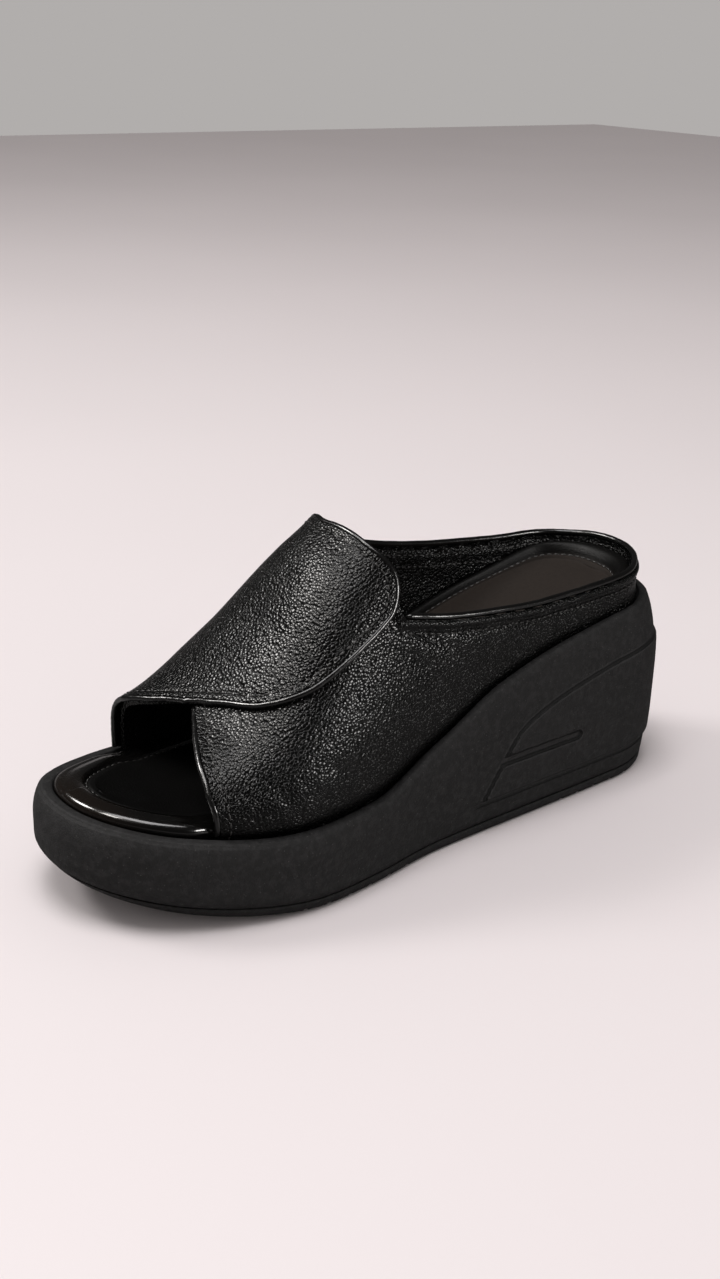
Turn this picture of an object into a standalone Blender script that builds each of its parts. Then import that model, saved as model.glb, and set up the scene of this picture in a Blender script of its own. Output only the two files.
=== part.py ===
"""Left wedge slide sandal with an open toe: a moulded wedge sole on a thin outsole, a padded
insole, one hollow upper, a flap that wraps over the instep, and piping on the free edges.

Frame: +Z up, +Y towards the toe, -X the outer (lateral) side, +X the inner (medial) side.
The origin is on the floor, at the middle of the sole's box. Sizes are in millimetres and
become metres when a mesh is made.
"""

import math
from collections import namedtuple

import bmesh
import bpy
import numpy as np
from mathutils import Vector

MM = 0.001

# Overall sizes
LENGTH = 255.0
BALL_WIDTH = 96.0
HEEL_HEIGHT = 69.0
PLATFORM_HEIGHT = 28.0
TOE_SPRING = 12.0

# Sole
OUTSOLE_THICKNESS = 4.0
HEEL_ROUND = 38.0
TOE_ROUND = 88.0
HEEL_SQUARENESS = 2.1
TOE_SQUARENESS = 2.2
HEEL_BEVEL = 2.0
HEEL_BEVEL_LENGTH = 10.0
RIM_DRAW = 8.0
FOOT_DRAW = 8.0
FOOT_EDGE = 0.7
LIP_WIDTH = 4.0
LIP_EDGE = 1.2
RECESS_DEPTH = 2.0
SIDE_LINE = 1.0
PANEL_RELIEF = 1.0
BAND_HEIGHT = 11.5
BAND_GROOVE_HEIGHT = 2.0
BAND_GROOVE_DEPTH = 0.9
SLOT_LOW = 25.6
SLOT_HEIGHT = 2.9
TREAD_PITCH = 9.0
TREAD_WIDTH = 2.2
TREAD_DEPTH = 1.2
TREAD_ZONES = ((0.06, 0.30), (0.54, 0.78))

# Insole
INSOLE_EDGE_ROLL = 3.0
INSOLE_BORDER = 12.0
INSOLE_SINK = 0.5
HEEL_RISE = 12.0
STITCH_TROUGH = 0.8

# Upper
WALL = 2.0
FLAP_WALL = 1.8
GAP = 0.3
SEAT_GAP = 0.8
FLAP_GAP = 0.5
COLLAR_RISE = 14.0
INSTEP_HEIGHT = 82.0
FULLNESS_DEPTH = 3.0
FULLNESS_HEIGHT = 45.0
HEEL_CENTRE = 34.0
PIPING = 2.2
FLAP_PIPING = 1.8
RIDGE_SHIFT = 3.5
FLAP_LEAD = 0.6

# Sections of the sole, heel to toe. Station is a share of LENGTH; centre and half are shares of
# the width; rise is a share of the heel's lift above the platform; lift is a share of
# TOE_SPRING; top_in and foot_in draw the wall in at the rim and at the floor, as shares of
# RIM_DRAW and FOOT_DRAW.
Section = namedtuple("Section", "station centre half rise lift top_in foot_in")
SOLE = [
    Section(0.00, 0.000, 0.353, 1.045, 0.00, 0.80, 0.22),
    Section(0.05, 0.000, 0.354, 1.025, 0.00, 0.62, 0.19),
    Section(0.12, 0.000, 0.357, 1.002, 0.00, 0.36, 0.15),
    Section(0.25, -0.005, 0.372, 0.902, 0.00, 0.22, 0.15),
    Section(0.38, -0.018, 0.378, 0.695, 0.00, 0.19, 0.15),
    Section(0.50, -0.023, 0.393, 0.317, 0.00, 0.19, 0.15),
    Section(0.62, -0.017, 0.448, 0.030, 0.00, 0.19, 0.18),
    Section(0.75, -0.001, 0.498, 0.000, 0.03, 0.22, 0.28),
    Section(0.88, 0.010, 0.490, 0.000, 0.34, 0.25, 0.52),
    Section(1.00, 0.036, 0.487, 0.000, 0.86, 0.35, 1.00),
]
WALL_TOP_SHARE = 0.5
WALL_FOOT_SHARE = 0.35
TOE_SPRING_START = 0.66

# The insole's top above the sole's rim, as shares of HEEL_RISE: at its outer and inner edge,
# and at the foot's bed.
Bed = namedtuple("Bed", "station outer inner bed")
BED = [
    Bed(0.00, 1.00, 1.00, 0.62),
    Bed(0.12, 0.87, 0.87, 0.50),
    Bed(0.25, 0.42, 0.46, 0.23),
    Bed(0.38, 0.27, 0.33, 0.12),
    Bed(0.50, 0.25, 0.25, 0.12),
    Bed(0.62, 0.27, 0.18, 0.17),
    Bed(0.75, 0.30, 0.12, 0.18),
    Bed(0.88, 0.32, 0.12, 0.19),
    Bed(1.00, 0.25, 0.25, 0.17),
]
BORDER_ROWS = ((0.55, 0.0), (0.95, 1.0), (1.15, 0.0))
INSOLE_NARROW = 0.845
INSOLE_WIDE = 0.885
LEAN_ROOM = 1.3

# Sections of the last. Crown is a share of INSTEP_HEIGHT above the rim; shift moves the crown's
# ridge to the inner side, as a share of RIDGE_SHIFT; outer_box and inner_box say how square a
# section is on each side (2 is an ellipse); outer_full and inner_full are shares of
# FULLNESS_DEPTH, and FULLNESS_CURVE sets how soon the fullness starts above the rim.
Last = namedtuple("Last", "station crown shift outer_box inner_box outer_full inner_full")
LAST = [
    Last(0.00, 0.92, 0.00, 2.35, 2.35, -0.50, -0.50),
    Last(0.20, 0.97, 0.29, 2.35, 2.35, 0.20, 0.10),
    Last(0.40, 1.01, 0.86, 2.35, 2.30, 0.55, 0.45),
    Last(0.50, 1.045, 0.97, 2.35, 2.25, 0.80, 0.50),
    Last(0.60, 0.94, 1.00, 2.35, 2.25, 1.00, 0.25),
    Last(0.70, 0.625, 0.97, 2.35, 2.60, 1.00, -0.10),
    Last(0.80, 0.345, 0.97, 2.45, 3.80, 0.90, -0.15),
    Last(0.88, 0.24, 0.91, 2.60, 4.60, 0.80, -0.10),
]
FULLNESS_CURVE = 0.6

# The collar's height above the heel seat's rim, as a share of COLLAR_RISE, on each side.
Collar = namedtuple("Collar", "station outer inner")
COLLAR = [
    Collar(0.00, 0.99, 0.99),
    Collar(0.07, 0.90, 0.91),
    Collar(0.17, 0.81, 0.91),
    Collar(0.30, 0.81, 1.10),
    Collar(0.39, 0.91, 1.38),
    Collar(0.47, 1.04, 1.76),
    Collar(0.55, 1.30, 2.28),
]

# Stations of the upper's free edges at shares of the way over the crown, from the belt on the
# outer side to the belt on the inner side.
Edge = namedtuple("Edge", "way toe throat")
EDGES = [
    Edge(0.00, 0.847, 0.545),
    Edge(0.15, 0.838, 0.554),
    Edge(0.30, 0.819, 0.571),
    Edge(0.42, 0.799, 0.578),
    Edge(0.50, 0.787, 0.581),
    Edge(0.60, 0.796, 0.583),
    Edge(0.75, 0.819, 0.575),
    Edge(0.87, 0.832, 0.563),
    Edge(1.00, 0.834, 0.548),
]
FOOT_TOE_OUTER, FOOT_TOE_INNER = 0.845, 0.831
FOOT_THROAT_OUTER, FOOT_THROAT_INNER = 0.572, 0.522
TOE_BELT = 0.63

# The flap's outer edge: the angle round the section at shares of the way from toe to throat.
FlapEdge = namedtuple("FlapEdge", "way angle")
FLAP_EDGE = [
    FlapEdge(0.00, 1.60),
    FlapEdge(0.10, 1.445),
    FlapEdge(0.20, 1.285),
    FlapEdge(0.34, 1.035),
    FlapEdge(0.47, 0.88),
    FlapEdge(0.61, 0.78),
    FlapEdge(0.75, 0.738),
    FlapEdge(0.88, 0.732),
    FlapEdge(1.00, 0.735),
]
FLAP_CORNER_ALONG = 0.08
FLAP_CORNER_UP = 0.065

# The raised heel panel's upper edge, seen from the side: station, and height as a share of
# HEEL_HEIGHT. Its front edge leans back from the band's groove to the slot.
PanelEdge = namedtuple("PanelEdge", "station height")
PANEL_ARC = [
    PanelEdge(-0.03, 0.772),
    PanelEdge(0.08, 0.772),
    PanelEdge(0.15, 0.750),
    PanelEdge(0.22, 0.704),
    PanelEdge(0.28, 0.650),
    PanelEdge(0.33, 0.582),
    PanelEdge(0.36, 0.512),
    PanelEdge(0.377, 0.430),
]
SLOT_BACK = 0.235
SLOT_TIP = 0.374
PANEL_NOSE = 0.388
PANEL_FOOT = 0.421
GROOVE_END = 0.44
RELIEF_FADE = 0.46
RELIEF_END = 0.64

RING_STEPS = 38
PANEL_STEPS = 22
SIDE_NAMES = {-1: "outer", 1: "inner"}


def follow(rows, column, share):
    """A column of a table as a smooth curve through its rows, with no overshoot."""
    x = np.array([row[0] for row in rows])
    y = np.array([getattr(row, column) for row in rows])
    step = np.diff(x)
    slope = np.diff(y) / step
    tangent = np.zeros(len(x))
    for i in range(1, len(x) - 1):
        if slope[i - 1] * slope[i] > 0:
            before, after = 2 * step[i] + step[i - 1], step[i] + 2 * step[i - 1]
            tangent[i] = (before + after) / (before / slope[i - 1] + after / slope[i])
    tangent[0], tangent[-1] = slope[0], slope[-1]
    at = np.clip(np.asarray(share, float), x[0], x[-1])
    k = np.clip(np.searchsorted(x, at) - 1, 0, len(step) - 1)
    t = (at - x[k]) / step[k]
    rest = 1 - t
    return (
        y[k] * (1 + 2 * t) * rest**2
        + tangent[k] * step[k] * t * rest**2
        + y[k + 1] * (3 - 2 * t) * t**2
        - tangent[k + 1] * step[k] * rest * t**2
    )


def ease(low, high, x):
    """0 below low, 1 above high, and a smooth step between."""
    t = np.clip((np.asarray(x, float) - low) / (high - low), 0, 1)
    return t * t * (3 - 2 * t)


def round_end(distance, radius, squareness):
    """How much of its width the plan has at a distance from a rounded end."""
    near = np.clip(distance / radius, 0, 1)
    return (1 - (1 - near) ** squareness) ** (1 / squareness)


def raw_outline(station):
    """Outer and inner edge of the sole's plan at a station, in shares of the width."""
    heel = round_end(station * LENGTH, HEEL_ROUND, HEEL_SQUARENESS)
    toe = round_end((1 - station) * LENGTH, TOE_ROUND, TOE_SQUARENESS)
    width = follow(SOLE, "half", station) * heel * toe
    middle = follow(SOLE, "centre", station)
    return middle - width, middle + width


SCAN = np.linspace(0, 1, 801)
RAW_LOW = float(raw_outline(SCAN)[0].min())
RAW_HIGH = float(raw_outline(SCAN)[1].max())
PLAN_SCALE = BALL_WIDTH / (RAW_HIGH - RAW_LOW)
PLAN_SHIFT = (RAW_HIGH + RAW_LOW) / 2


def outline_point(side, turn):
    """A point of the plan's edge. Turn runs from 0 at the heel to pi at the toe."""
    station = (1 - np.cos(turn)) / 2
    edge = raw_outline(station)[0 if side < 0 else 1]
    return np.stack([(edge - PLAN_SHIFT) * PLAN_SCALE, (station - 0.5) * LENGTH], -1)


def inset_point(side, station, inset):
    """The plan's edge at a station (a share of LENGTH), moved inwards at right angles to it."""
    turn = np.arccos(1 - 2 * np.clip(station, 0, 1))
    step = 0.002
    back = outline_point(side, np.maximum(turn - step, 0))
    ahead = outline_point(side, np.minimum(turn + step, math.pi))
    along = ahead - back
    along = along / np.linalg.norm(along, axis=-1, keepdims=True)
    inward = np.stack([-side * along[..., 1], side * along[..., 0]], -1)
    return outline_point(side, turn) + inward * np.asarray(inset)[..., None]


def rim_height(station):
    """Height of the sole's rim above the floor."""
    lift = (HEEL_HEIGHT - PLATFORM_HEIGHT) * follow(SOLE, "rise", station)
    return PLATFORM_HEIGHT + lift + TOE_SPRING * follow(SOLE, "lift", station)


def floor_height(station):
    """Height of the outsole's underside: toe spring in front, a small bevel behind."""
    ahead = np.clip((station - TOE_SPRING_START) / (1 - TOE_SPRING_START), 0, 1)
    behind = np.clip(1 - station * LENGTH / HEEL_BEVEL_LENGTH, 0, 1)
    return TOE_SPRING * ahead**2 + HEEL_BEVEL * behind**2


def rim_inset(station):
    """How far the rim is drawn in from the plan's edge."""
    return RIM_DRAW * follow(SOLE, "top_in", station)


def wall_inset(station, height):
    """How far the sole's wall is drawn in from the plan's edge at a height above the floor, and
    how much further it lies behind the heel panel."""
    low, high = floor_height(station), rim_height(station)
    share = (height - low) / (high - low)
    top = np.clip((share - WALL_TOP_SHARE) / (1 - WALL_TOP_SHARE), 0, 1) ** 3
    foot = np.clip((WALL_FOOT_SHARE - share) / WALL_FOOT_SHARE, 0, 1) ** 2
    drawn = rim_inset(station) * top + FOOT_DRAW * follow(SOLE, "foot_in", station) * foot
    return drawn, PANEL_RELIEF * (1 - ease(RELIEF_FADE, RELIEF_END, station))


def recess_inset(station):
    """Inset of the recess that holds the upper and the insole."""
    return rim_inset(station) + LIP_WIDTH


def ring_stations(steps):
    """Stations from heel to toe, closer together at the rounded ends."""
    return (1 - np.cos(np.linspace(0, math.pi, steps + 1))) / 2


def share_along(point):
    """The share of LENGTH at which a point of the plan lies."""
    return point[..., 1] / LENGTH + 0.5


def ring(stations, inset, height):
    """One closed course of points round the plan: the outer side toe to heel, then the inner
    side back to the toe. Inset and height are functions of the share of LENGTH; height also
    takes the side."""
    sides = []
    for side in (-1, 1):
        plan = inset_point(side, stations, inset(stations))
        sides.append(np.column_stack([plan, height(share_along(plan), side)]))
    return np.vstack([sides[0][::-1], sides[1][1:-1]])


def ladder_faces(start, count, steps, upward):
    """Faces across a course, from its outer side to its inner side, station by station."""
    faces = []
    for i in range(steps):
        outer = (start + i, start + i + 1)
        inner = (start + (count - i - 1) % count, start + (count - i) % count)
        corners = [outer[0], outer[1], inner[0], inner[1]]
        face = list(dict.fromkeys(corners))
        faces.append(face if upward else face[::-1])
    return faces


def make_mesh(name, points, faces):
    """A mesh object from points in millimetres, its faces turned outwards."""
    mesh = bpy.data.meshes.new(name)
    mesh.from_pydata([tuple(p) for p in np.asarray(points) * MM], [], faces)
    shell = bmesh.new()
    shell.from_mesh(mesh)
    bmesh.ops.remove_doubles(shell, verts=shell.verts, dist=1e-6)
    bmesh.ops.recalc_face_normals(shell, faces=shell.faces)
    shell.to_mesh(mesh)
    shell.free()
    obj = bpy.data.objects.new(name, mesh)
    return obj


def loft(name, courses, steps):
    """A closed solid from a stack of courses, with a ladder of faces on both ends."""
    count = len(courses[0])
    faces = []
    for row in range(len(courses) - 1):
        for i in range(count):
            j = (i + 1) % count
            low, high = row * count, (row + 1) * count
            faces.append([low + i, low + j, high + j, high + i])
    faces += ladder_faces(0, count, steps, False)
    faces += ladder_faces((len(courses) - 1) * count, count, steps, True)
    return make_mesh(name, np.vstack(courses), faces)


def course(stations, height, extra=0.0, relief=1.0):
    """A course on the sole's wall at a height, drawn in by a little extra."""

    def inset(at):
        wall, step = wall_inset(at, height(at, 0))
        return wall + step * relief + extra

    return ring(stations, inset, height)


def outsole_courses(stations):
    """The outsole: a thin slab with a rounded foot and an eased top edge."""

    def raised(amount):
        return lambda at, side: floor_height(at) + amount

    return [
        course(stations, raised(0.0), FOOT_EDGE),
        course(stations, raised(FOOT_EDGE)),
        course(stations, raised(OUTSOLE_THICKNESS - SIDE_LINE / 2)),
        course(stations, raised(OUTSOLE_THICKNESS), SIDE_LINE),
    ]


def wedge_courses(stations, relief=1.0, groove=BAND_GROOVE_DEPTH):
    """The wedge: its wall with the band's groove, the lip, and the floor of the recess."""
    bottom = OUTSOLE_THICKNESS + GAP
    band_top = BAND_HEIGHT + BAND_GROOVE_HEIGHT
    groove_edge = BAND_GROOVE_HEIGHT * 0.15

    def above(amount):
        return lambda at, side: floor_height(at) + amount

    def share(part):
        def height(at, side):
            low = floor_height(at) + band_top
            return low + part * (rim_height(at) - low)

        return height

    def below_rim(amount):
        return lambda at, side: rim_height(at) - amount

    def groove_course(height):
        def inset(at):
            wall, step = wall_inset(at, height(at, 0))
            depth = groove * (1 - ease(PANEL_FOOT, GROOVE_END, at))
            return wall + step * relief + depth

        return ring(stations, inset, height)

    rows = [
        course(stations, above(bottom), SIDE_LINE, relief),
        course(stations, above(bottom + SIDE_LINE / 2), 0.0, relief),
        course(stations, above(BAND_HEIGHT), 0.0, relief),
        groove_course(above(BAND_HEIGHT + groove_edge)),
        groove_course(above(band_top - groove_edge)),
        course(stations, above(band_top), 0.0, relief),
        course(stations, share(0.25), 0.0, relief),
        course(stations, share(0.55), 0.0, relief),
        course(stations, share(0.80), 0.0, relief),
        course(stations, below_rim(LIP_EDGE), 0.0, relief),
        course(stations, below_rim(LIP_EDGE * 0.3), LIP_EDGE * 0.3, relief),
        course(stations, below_rim(0.0), LIP_EDGE, relief),
        ring(stations, recess_inset, below_rim(0.0)),
        ring(stations, lambda at: recess_inset(at) + RECESS_DEPTH * 0.05, below_rim(RECESS_DEPTH)),
    ]
    return rows


def panel_outline():
    """The heel panel seen from the side, as (y, z) points round its edge."""
    band_top = BAND_HEIGHT + BAND_GROOVE_HEIGHT
    slot_top = SLOT_LOW + SLOT_HEIGHT
    back, nose = PANEL_ARC[0].station, PANEL_ARC[-1].station
    ways = np.linspace(back, nose, PANEL_STEPS)
    upper = [(way, float(follow(PANEL_ARC, "height", way)) * HEEL_HEIGHT) for way in ways]
    front = [
        (SLOT_TIP, slot_top),
        (SLOT_BACK, slot_top),
        (SLOT_BACK, SLOT_LOW),
        (PANEL_NOSE, SLOT_LOW),
        (PANEL_FOOT, band_top),
        (back, band_top),
    ]
    return [((station - 0.5) * LENGTH, height) for station, height in upper + front]


def prism(name, outline, half_width):
    """A side-view outline carried across the shoe."""
    count = len(outline)
    left = [(-half_width, y, z) for y, z in outline]
    right = [(half_width, y, z) for y, z in outline]
    faces = [list(range(count)), list(range(2 * count - 1, count - 1, -1))]
    for i in range(count):
        j = (i + 1) % count
        faces.append([i, i + count, j + count, j])
    return make_mesh(name, left + right, faces)


def box(name, low, high):
    """A box between two corners, from Blender's cube."""
    mesh = bpy.data.meshes.new(name)
    shell = bmesh.new()
    bmesh.ops.create_cube(shell, size=1.0)
    low, high = np.array(low) * MM, np.array(high) * MM
    for vert in shell.verts:
        vert.co = [low[i] + (vert.co[i] + 0.5) * (high[i] - low[i]) for i in range(3)]
    shell.to_mesh(mesh)
    shell.free()
    return bpy.data.objects.new(name, mesh)


def apply_boolean(target, tool, operation):
    """Joins or cuts target with tool, with the exact solver, and keeps the result as its mesh."""
    step = target.modifiers.new(operation.title(), "BOOLEAN")
    step.operation = operation
    step.solver = "EXACT"
    step.object = tool
    bpy.context.view_layer.update()
    graph = bpy.context.evaluated_depsgraph_get()
    mesh = bpy.data.meshes.new_from_object(target.evaluated_get(graph))
    target.modifiers.clear()
    target.data = mesh


def build_outsole(kit):
    """The outsole with its tread: plain bars across the heel and the forefoot."""
    stations = ring_stations(RING_STEPS)
    outsole = kit.add(loft("outsole", outsole_courses(stations), RING_STEPS), "outsole")
    cutters = []
    for start, end in TREAD_ZONES:
        count = int((end - start) * LENGTH // TREAD_PITCH)
        for i in range(count):
            y = (start - 0.5) * LENGTH + (i + 0.5) * TREAD_PITCH
            station = y / LENGTH + 0.5
            depth = float(floor_height(station)) + TREAD_DEPTH
            low = (-BALL_WIDTH, y - TREAD_WIDTH / 2, -TREAD_DEPTH)
            high = (BALL_WIDTH, y + TREAD_WIDTH / 2, depth)
            cutters.append(kit.add_tool(box("tread_bar", low, high)))
    for cutter in cutters:
        apply_boolean(outsole, cutter, "DIFFERENCE")
    return outsole


def build_wedge(kit):
    """The moulded wedge, with the heel panel raised on both sides and round the back."""
    stations = ring_stations(RING_STEPS)
    wedge = kit.add(loft("sole_wedge", wedge_courses(stations), RING_STEPS), "sole")
    proud = kit.add_tool(loft("panel_form", wedge_courses(stations, 0.0, 0.0), RING_STEPS))
    window = kit.add_tool(prism("panel_window", panel_outline(), BALL_WIDTH))
    apply_boolean(proud, window, "INTERSECT")
    apply_boolean(wedge, proud, "UNION")
    return wedge


def insole_base(station):
    """Inset of the insole's side: inside the upper's wall, and against the recess in front."""
    lean = np.maximum(-follow(LAST, "outer_full", station), 0) * FULLNESS_DEPTH
    behind = WALL + SEAT_GAP + lean * LEAN_ROOM
    narrow = 1 - ease(INSOLE_NARROW, INSOLE_WIDE, station)
    return recess_inset(station) + GAP + behind * narrow


def insole_courses(stations):
    """The insole: its underside, a rolled edge, a border, a stitched trough, and the bed."""
    roll = INSOLE_EDGE_ROLL
    rows = [
        ring(
            stations,
            lambda at: insole_base(at) + INSOLE_SINK,
            lambda at, side: rim_height(at) - RECESS_DEPTH + GAP,
        )
    ]

    def rolled(part):
        angle = part * math.pi / 2

        def level(at, side):
            top = rim_height(at) + HEEL_RISE * follow(BED, SIDE_NAMES[side], at)
            start = np.maximum(top - roll, rim_height(at) - INSOLE_SINK)
            return start + (top - start) * math.sin(angle)

        return ring(stations, lambda at: insole_base(at) + roll * (1 - math.cos(angle)), level)

    def border(part, sink):
        def level(at, side):
            edge, bed = follow(BED, SIDE_NAMES[side], at), follow(BED, "bed", at)
            rise = HEEL_RISE * (edge + (bed - edge) * part**1.5)
            return rim_height(at) + rise - STITCH_TROUGH * sink

        width = INSOLE_BORDER - roll
        return ring(stations, lambda at: insole_base(at) + roll + width * part, level)

    rows += [rolled(part) for part in (0.0, 0.35, 0.7, 1.0)]
    return rows + [border(part, sink) for part, sink in BORDER_ROWS]


def build_insole(kit):
    """The padded insole, seated in the sole's recess."""
    stations = ring_stations(RING_STEPS)
    return kit.add(loft("insole", insole_courses(stations), RING_STEPS), "insole")


def crown_height(station):
    """Height above the floor of the last's ridge."""
    return rim_height(station) + INSTEP_HEIGHT * follow(LAST, "crown", station)


def foot_height(station):
    """Height of the upper's lower edge, just above the floor of the recess."""
    return rim_height(station) - RECESS_DEPTH + SEAT_GAP


def foot_point(side, station):
    """The plan of the upper's lower edge, just inside the recess."""
    return inset_point(side, station, recess_inset(station) + SEAT_GAP)


def last_point(side, station, angle):
    """A point of the last's surface. The angle runs from 0 at the foot to half pi at the
    ridge. Round the heel the sections turn about one centre."""
    station, angle = np.broadcast_arrays(np.asarray(station, float), np.asarray(angle, float))
    name = SIDE_NAMES[side]
    foot = foot_point(side, station)
    turn_at = np.maximum(station, HEEL_CENTRE / LENGTH)
    edges = raw_outline(turn_at)
    middle = ((edges[0] + edges[1]) / 2 - PLAN_SHIFT) * PLAN_SCALE
    ridge = middle + RIDGE_SHIFT * follow(LAST, "shift", turn_at)
    centre = np.stack([ridge, (turn_at - 0.5) * LENGTH], -1)
    box = follow(LAST, name + "_box", station)
    spread, climb = np.cos(angle), np.sin(angle)
    size = (spread**box + climb**box) ** (-1 / box)
    low = foot_height(share_along(foot))
    height = low + (crown_height(station) - low) * climb * size
    rim = low + RECESS_DEPTH - SEAT_GAP
    above = np.clip((height - rim) / FULLNESS_HEIGHT, 0, 1)
    swell = np.sin(math.pi * above**FULLNESS_CURVE)
    full = FULLNESS_DEPTH * follow(LAST, name + "_full", station) * swell
    reach = foot - centre
    length = np.linalg.norm(reach, axis=-1, keepdims=True)
    plan = centre + reach * (spread * size)[..., None] + reach / length * full[..., None]
    return np.concatenate([plan, height[..., None]], -1)


def angle_at(side, station, height):
    """The angle round the section at which the last's surface reaches a height."""
    box = follow(LAST, SIDE_NAMES[side] + "_box", station)
    low = foot_height(share_along(foot_point(side, station)))
    share = np.clip((height - low) / (crown_height(station) - low), 0, 0.999)
    return np.arctan2(share, (1 - share**box) ** (1 / box))


def collar_angle(side, station):
    """The angle of the collar's edge at a station."""
    height = HEEL_HEIGHT + COLLAR_RISE * follow(COLLAR, SIDE_NAMES[side], station)
    return angle_at(side, station, height)


def crown_point(station, turn):
    """A point over the whole section: turn runs from 0 at the outer foot to pi at the inner."""
    outer = last_point(-1, station, np.minimum(turn, math.pi / 2))
    inner = last_point(1, station, np.minimum(math.pi - turn, math.pi / 2))
    return np.where((turn <= math.pi / 2)[..., None], outer, inner)


def outward(station, turn):
    """The last's outward normal over the crown, from differences."""
    step = 0.002
    along = crown_point(station + step, turn) - crown_point(station - step, turn)
    low = np.clip(turn - step * 4, 0.0, math.pi)
    high = np.clip(turn + step * 4, 0.0, math.pi)
    across = crown_point(station, high) - crown_point(station, low)
    normal = np.cross(across, along)
    normal = normal / np.linalg.norm(normal, axis=-1, keepdims=True)
    middle = crown_point(station, np.full_like(turn, math.pi / 2))
    away = crown_point(station, turn) - middle + np.array([0, 0, BALL_WIDTH])
    sign = np.sign((normal * away).sum(-1, keepdims=True))
    return normal * sign


BELT_ROWS = (0.0, 0.10, 0.28, 0.52, 0.76, 1.0)
CROWN_ROWS = 18
VAMP_STEPS = 12
QUARTER_STEPS = 20


def belt_rows(side, foot_station, belt_station, belt_angle):
    """Stations and angles of one column from the foot to the belt. The first row is the foot,
    the second is level with the rim, and the rest climb evenly."""
    shares = np.array(BELT_ROWS)
    station = foot_station + (belt_station - foot_station) * np.concatenate([[0.0], shares])
    belt = last_point(side, belt_station, belt_angle)[2]
    foot = share_along(foot_point(side, foot_station))
    low, rim = foot_height(foot), rim_height(foot)
    heights = np.concatenate([[low], rim + (belt - rim) * shares])
    angles = angle_at(side, station, heights)
    angles[-1] = belt_angle
    return station, angles


def upper_patches():
    """The upper's surface: a vamp over the crown, and a strip round the heel."""
    ends = (collar_angle(-1, EDGES[0].throat), collar_angle(1, EDGES[-1].throat))
    vamp = []
    for j in range(VAMP_STEPS + 1):
        way = j / VAMP_STEPS
        feet = (
            FOOT_TOE_OUTER + (FOOT_THROAT_OUTER - FOOT_TOE_OUTER) * way,
            FOOT_TOE_INNER + (FOOT_THROAT_INNER - FOOT_TOE_INNER) * way,
        )
        belts = [EDGES[k].toe + (EDGES[k].throat - EDGES[k].toe) * way for k in (0, -1)]
        angles = [TOE_BELT + (end - TOE_BELT) * way for end in ends]
        column = []
        station, angle = belt_rows(-1, feet[0], belts[0], angles[0])
        column += list(last_point(-1, station, angle))
        over = np.linspace(0, 1, CROWN_ROWS + 1)[1:-1]
        toe, throat = follow(EDGES, "toe", over), follow(EDGES, "throat", over)
        turn = angles[0] + (math.pi - angles[1] - angles[0]) * over
        column += list(crown_point(toe + (throat - toe) * way, turn))
        station, angle = belt_rows(1, feet[1], belts[1], angles[1])
        column += list(last_point(1, station, angle))[::-1]
        vamp.append(column)

    quarter = []
    for side in (-1, 1):
        foot_end = FOOT_THROAT_OUTER if side < 0 else FOOT_THROAT_INNER
        belt_end = EDGES[0 if side < 0 else -1].throat
        columns = []
        for k in range(QUARTER_STEPS + 1):
            part = 1 - k / QUARTER_STEPS
            foot, belt = [
                (1 - math.cos(math.acos(1 - 2 * end) * part)) / 2 for end in (foot_end, belt_end)
            ]
            station, angle = belt_rows(side, foot, belt, collar_angle(side, belt))
            columns.append(list(last_point(side, station, angle)))
        quarter.append(columns)
    return vamp, quarter


def grid_faces(start, columns, rows):
    """Quads of a grid whose points are stored column by column."""
    return [
        [start + c * rows + r, start + (c + 1) * rows + r]
        + [start + (c + 1) * rows + r + 1, start + c * rows + r + 1]
        for c in range(columns - 1)
        for r in range(rows - 1)
    ]


def make_sheet(name, patches):
    """One open surface from several grids that share their edges."""
    points, faces = [], []
    for patch in patches:
        faces += grid_faces(len(points), len(patch), len(patch[0]))
        points += [point for column in patch for point in column]
    return make_mesh(name, points, faces)


def thicken(obj, wall):
    """Gives an open surface its wall, inwards."""
    solid = obj.modifiers.new("Wall", "SOLIDIFY")
    solid.thickness = wall * MM
    solid.offset = -1.0
    solid.use_even_offset = True
    solid.thickness_clamp = 0.0


def face_outwards(obj, reference):
    """Turns an open surface's faces away from a point inside the shoe."""
    mesh = obj.data
    facing = sum(
        face.area * face.normal.dot(face.center - reference) for face in mesh.polygons
    )
    if facing < 0:
        mesh.flip_normals()


def build_upper(kit, vamp, quarter):
    """The hollow upper: quarter, heel wall and vamp in one shell."""
    upper = make_sheet("upper", [vamp] + quarter)
    face_outwards(upper, Vector((0, 0, PLATFORM_HEIGHT * MM)))
    thicken(upper, WALL)
    return kit.add(upper, "leather")


def flap_grid(columns, rows, lead, offset):
    """Stations and turns of the flap, laid on the upper at an offset: from its outer edge over
    the crown to the inner foot. The corner at the throat is rounded."""
    points = []
    for j in range(columns + 1):
        column = []
        for i in range(rows + 1):
            way, over = j / columns, i / rows
            u = (way - 1 + FLAP_CORNER_ALONG) / FLAP_CORNER_ALONG
            v = (FLAP_CORNER_UP - over) / FLAP_CORNER_UP
            if u > 0 and v > 0:
                u, v = u * math.sqrt(1 - v * v / 2), v * math.sqrt(1 - u * u / 2)
                way = 1 - FLAP_CORNER_ALONG + u * FLAP_CORNER_ALONG
                over = FLAP_CORNER_UP - v * FLAP_CORNER_UP
            column.append(flap_place(way, over, lead))
        place = np.array(column)
        surface = crown_point(place[:, 0], place[:, 1])
        points.append(list(surface + outward(place[:, 0], place[:, 1]) * offset))
    return points


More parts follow.
